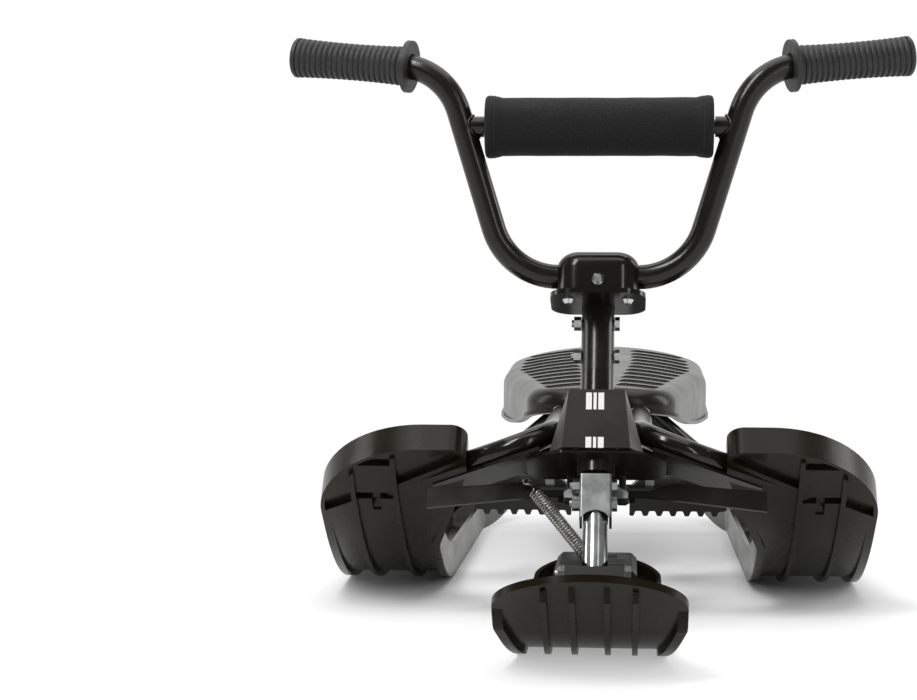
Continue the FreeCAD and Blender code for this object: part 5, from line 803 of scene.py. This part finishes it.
def make_beads(steel):
    """A weld bead where each end of the crossbar meets the handlebar."""
    low, high = (Vector(corner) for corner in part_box("crossbar"))
    middle = (low + high) / 2
    radius = (high.z - low.z) / 2
    for word, side in (("right", -1), ("left", 1)):
        points = []
        for step in range(BEAD_STEPS + BEAD_OVERRUN + 1):
            angle = FULL_TURN * step / BEAD_STEPS
            out = Vector((0, math.cos(angle), math.sin(angle)))
            start = Vector((0, middle.y, middle.z)) + out * (radius + RAY_MARGIN)
            found, spot, _, _ = NODES["handlebar"].ray_cast(start, ACROSS * side)
            if found:
                ripple = RIPPLE_HEIGHT * math.sin(RIPPLES * angle)
                points.append(spot - ACROSS * side * (BEAD_LIFT + ripple) + out * ripple)
        bead = piece("crossbar_weld_" + word, *swept_tube(points, BEAD_RADIUS, BEAD_SIDES), steel)
        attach(bead, "steering")


# Stage: pale floor, white surroundings and soft lamps

WORLD_GREY = (0.45, 0.45, 0.45, 1)
GLOSS_FADE = {"start": 0.1, "end": 1.0, "low": 0.16, "high": 1.0}
FLOOR_RADIUS, FLOOR_SIDES, FLOOR_LEVEL = 14, 96, -0.0002
FLOOR_PAINT = {"Base Color": (0.9, 0.9, 0.9, 1), "Roughness": 0.7, "Specular IOR Level": 0.1}
FLOOR_FADE = {"start": 0.1, "end": 0.9}

# Soft boxes: name, place, what it faces, width, height and power

LAMPS = (("overhead", (0.0, 0.1, 2.4), (0, 0, 0.2), 2.4, 2.4, 34),
         ("left_strip", (-0.64, -1.1, 1.6), (0, -0.25, 0.25), 0.24, 1.0, 17),
         ("left_box", (-2.1, 0.2, 1.1), (0, 0, 0.25), 0.6, 1.6, 12),
         ("right_box", (2.0, 0.55, 1.0), (0, 0, 0.25), 0.6, 1.6, 14),
         ("right_strip", (1.3, -2.0, 1.1), (0, -0.2, 0.25), 0.2, 1.4, 7))


def combine(tree, operation, first, second):
    """Two values joined by a math node and held between 0 and 1."""
    thing = tree.nodes.new("ShaderNodeMath")
    thing.operation = operation
    thing.use_clamp = True
    tree.links.new(first, thing.inputs[0])
    tree.links.new(second, thing.inputs[1])
    return thing.outputs[0]


def smooth_step(tree, value, start, end, low=0.0, high=1.0):
    """Low to high, easing in and out, as the value goes from start to end."""
    thing = tree.nodes.new("ShaderNodeMapRange")
    thing.interpolation_type = "SMOOTHSTEP"
    for key, number in (("From Min", start), ("From Max", end), ("To Min", low), ("To Max", high)):
        thing.inputs[key].default_value = number
    tree.links.new(value, thing.inputs["Value"])
    return thing.outputs["Result"]


def show(tree, share, first, second, output):
    """First shader where share is 0, second where it is 1."""
    mix = tree.nodes.new("ShaderNodeMixShader")
    tree.links.new(share, mix.inputs["Fac"])
    tree.links.new(first.outputs[0], mix.inputs[1])
    tree.links.new(second.outputs[0], mix.inputs[2])
    tree.links.new(mix.outputs[0], tree.nodes[output].inputs["Surface"])


def make_world():
    """Even grey light; the camera and glass see white, and gloss sees white that dims towards the front."""
    world = bpy.data.worlds.new("studio")
    scene.world = world
    world.use_nodes = True
    tree = world.node_tree
    light = tree.nodes["Background"]
    light.inputs["Color"].default_value = WORLD_GREY
    white = tree.nodes.new("ShaderNodeBackground")
    white.inputs["Color"].default_value = WHITE
    rays = tree.nodes.new("ShaderNodeLightPath").outputs
    straight = combine(tree, "ADD", rays["Is Camera Ray"], rays["Is Transmission Ray"])
    split = tree.nodes.new("ShaderNodeSeparateXYZ")
    tree.links.new(tree.nodes.new("ShaderNodeTexCoord").outputs["Generated"], split.inputs["Vector"])
    dim = smooth_step(tree, split.outputs["Y"], **GLOSS_FADE)
    tree.links.new(combine(tree, "MAXIMUM", dim, straight), white.inputs["Strength"])
    seen = combine(tree, "ADD", straight, rays["Is Glossy Ray"])
    show(tree, seen, light, white, "World Output")


def make_floor():
    """A pale disc that keeps the shadow near the sled and fades to the white of the surroundings."""
    bpy.ops.mesh.primitive_circle_add(vertices=FLOOR_SIDES, radius=FLOOR_RADIUS, fill_type="NGON",
                                      location=(0, 0, FLOOR_LEVEL))
    floor = bpy.context.object
    floor.name = "floor"
    look = bpy.data.materials.new("floor")
    look.use_nodes = True
    tree = look.node_tree
    shader = tree.nodes["Principled BSDF"]
    for key, value in FLOOR_PAINT.items():
        shader.inputs[key].default_value = value
    glow = tree.nodes.new("ShaderNodeEmission")
    glow.inputs["Color"].default_value = WHITE
    length = tree.nodes.new("ShaderNodeVectorMath")
    length.operation = "LENGTH"
    tree.links.new(tree.nodes.new("ShaderNodeTexCoord").outputs["Object"], length.inputs[0])
    fade = smooth_step(tree, length.outputs["Value"], **FLOOR_FADE)
    rays = tree.nodes.new("ShaderNodeLightPath").outputs
    mirrored = combine(tree, "ADD", rays["Is Camera Ray"], rays["Is Glossy Ray"])
    seen = combine(tree, "ADD", mirrored, rays["Is Transmission Ray"])
    show(tree, combine(tree, "MULTIPLY", seen, fade), shader, glow, "Material Output")
    floor.data.materials.append(look)


def make_lamps():
    for name, place, target, wide, tall, power in LAMPS:
        data = bpy.data.lights.new(name, "AREA")
        data.shape = "RECTANGLE"
        data.size = wide
        data.size_y = tall
        data.energy = power
        lamp = bpy.data.objects.new(name, data)
        scene.collection.objects.link(lamp)
        lamp.location = place
        lamp.rotation_euler = (Vector(target) - Vector(place)).to_track_quat("-Z", "Y").to_euler()


scene.view_settings.view_transform = "Standard"
make_camera()
coat = dress_nodes()
crossbar_pad = Pad()
make_pad(crossbar_pad)
make_stitches(crossbar_pad)
make_spring()
make_recess_shades()
make_beads(coat)
make_world()
make_floor()
make_lamps()
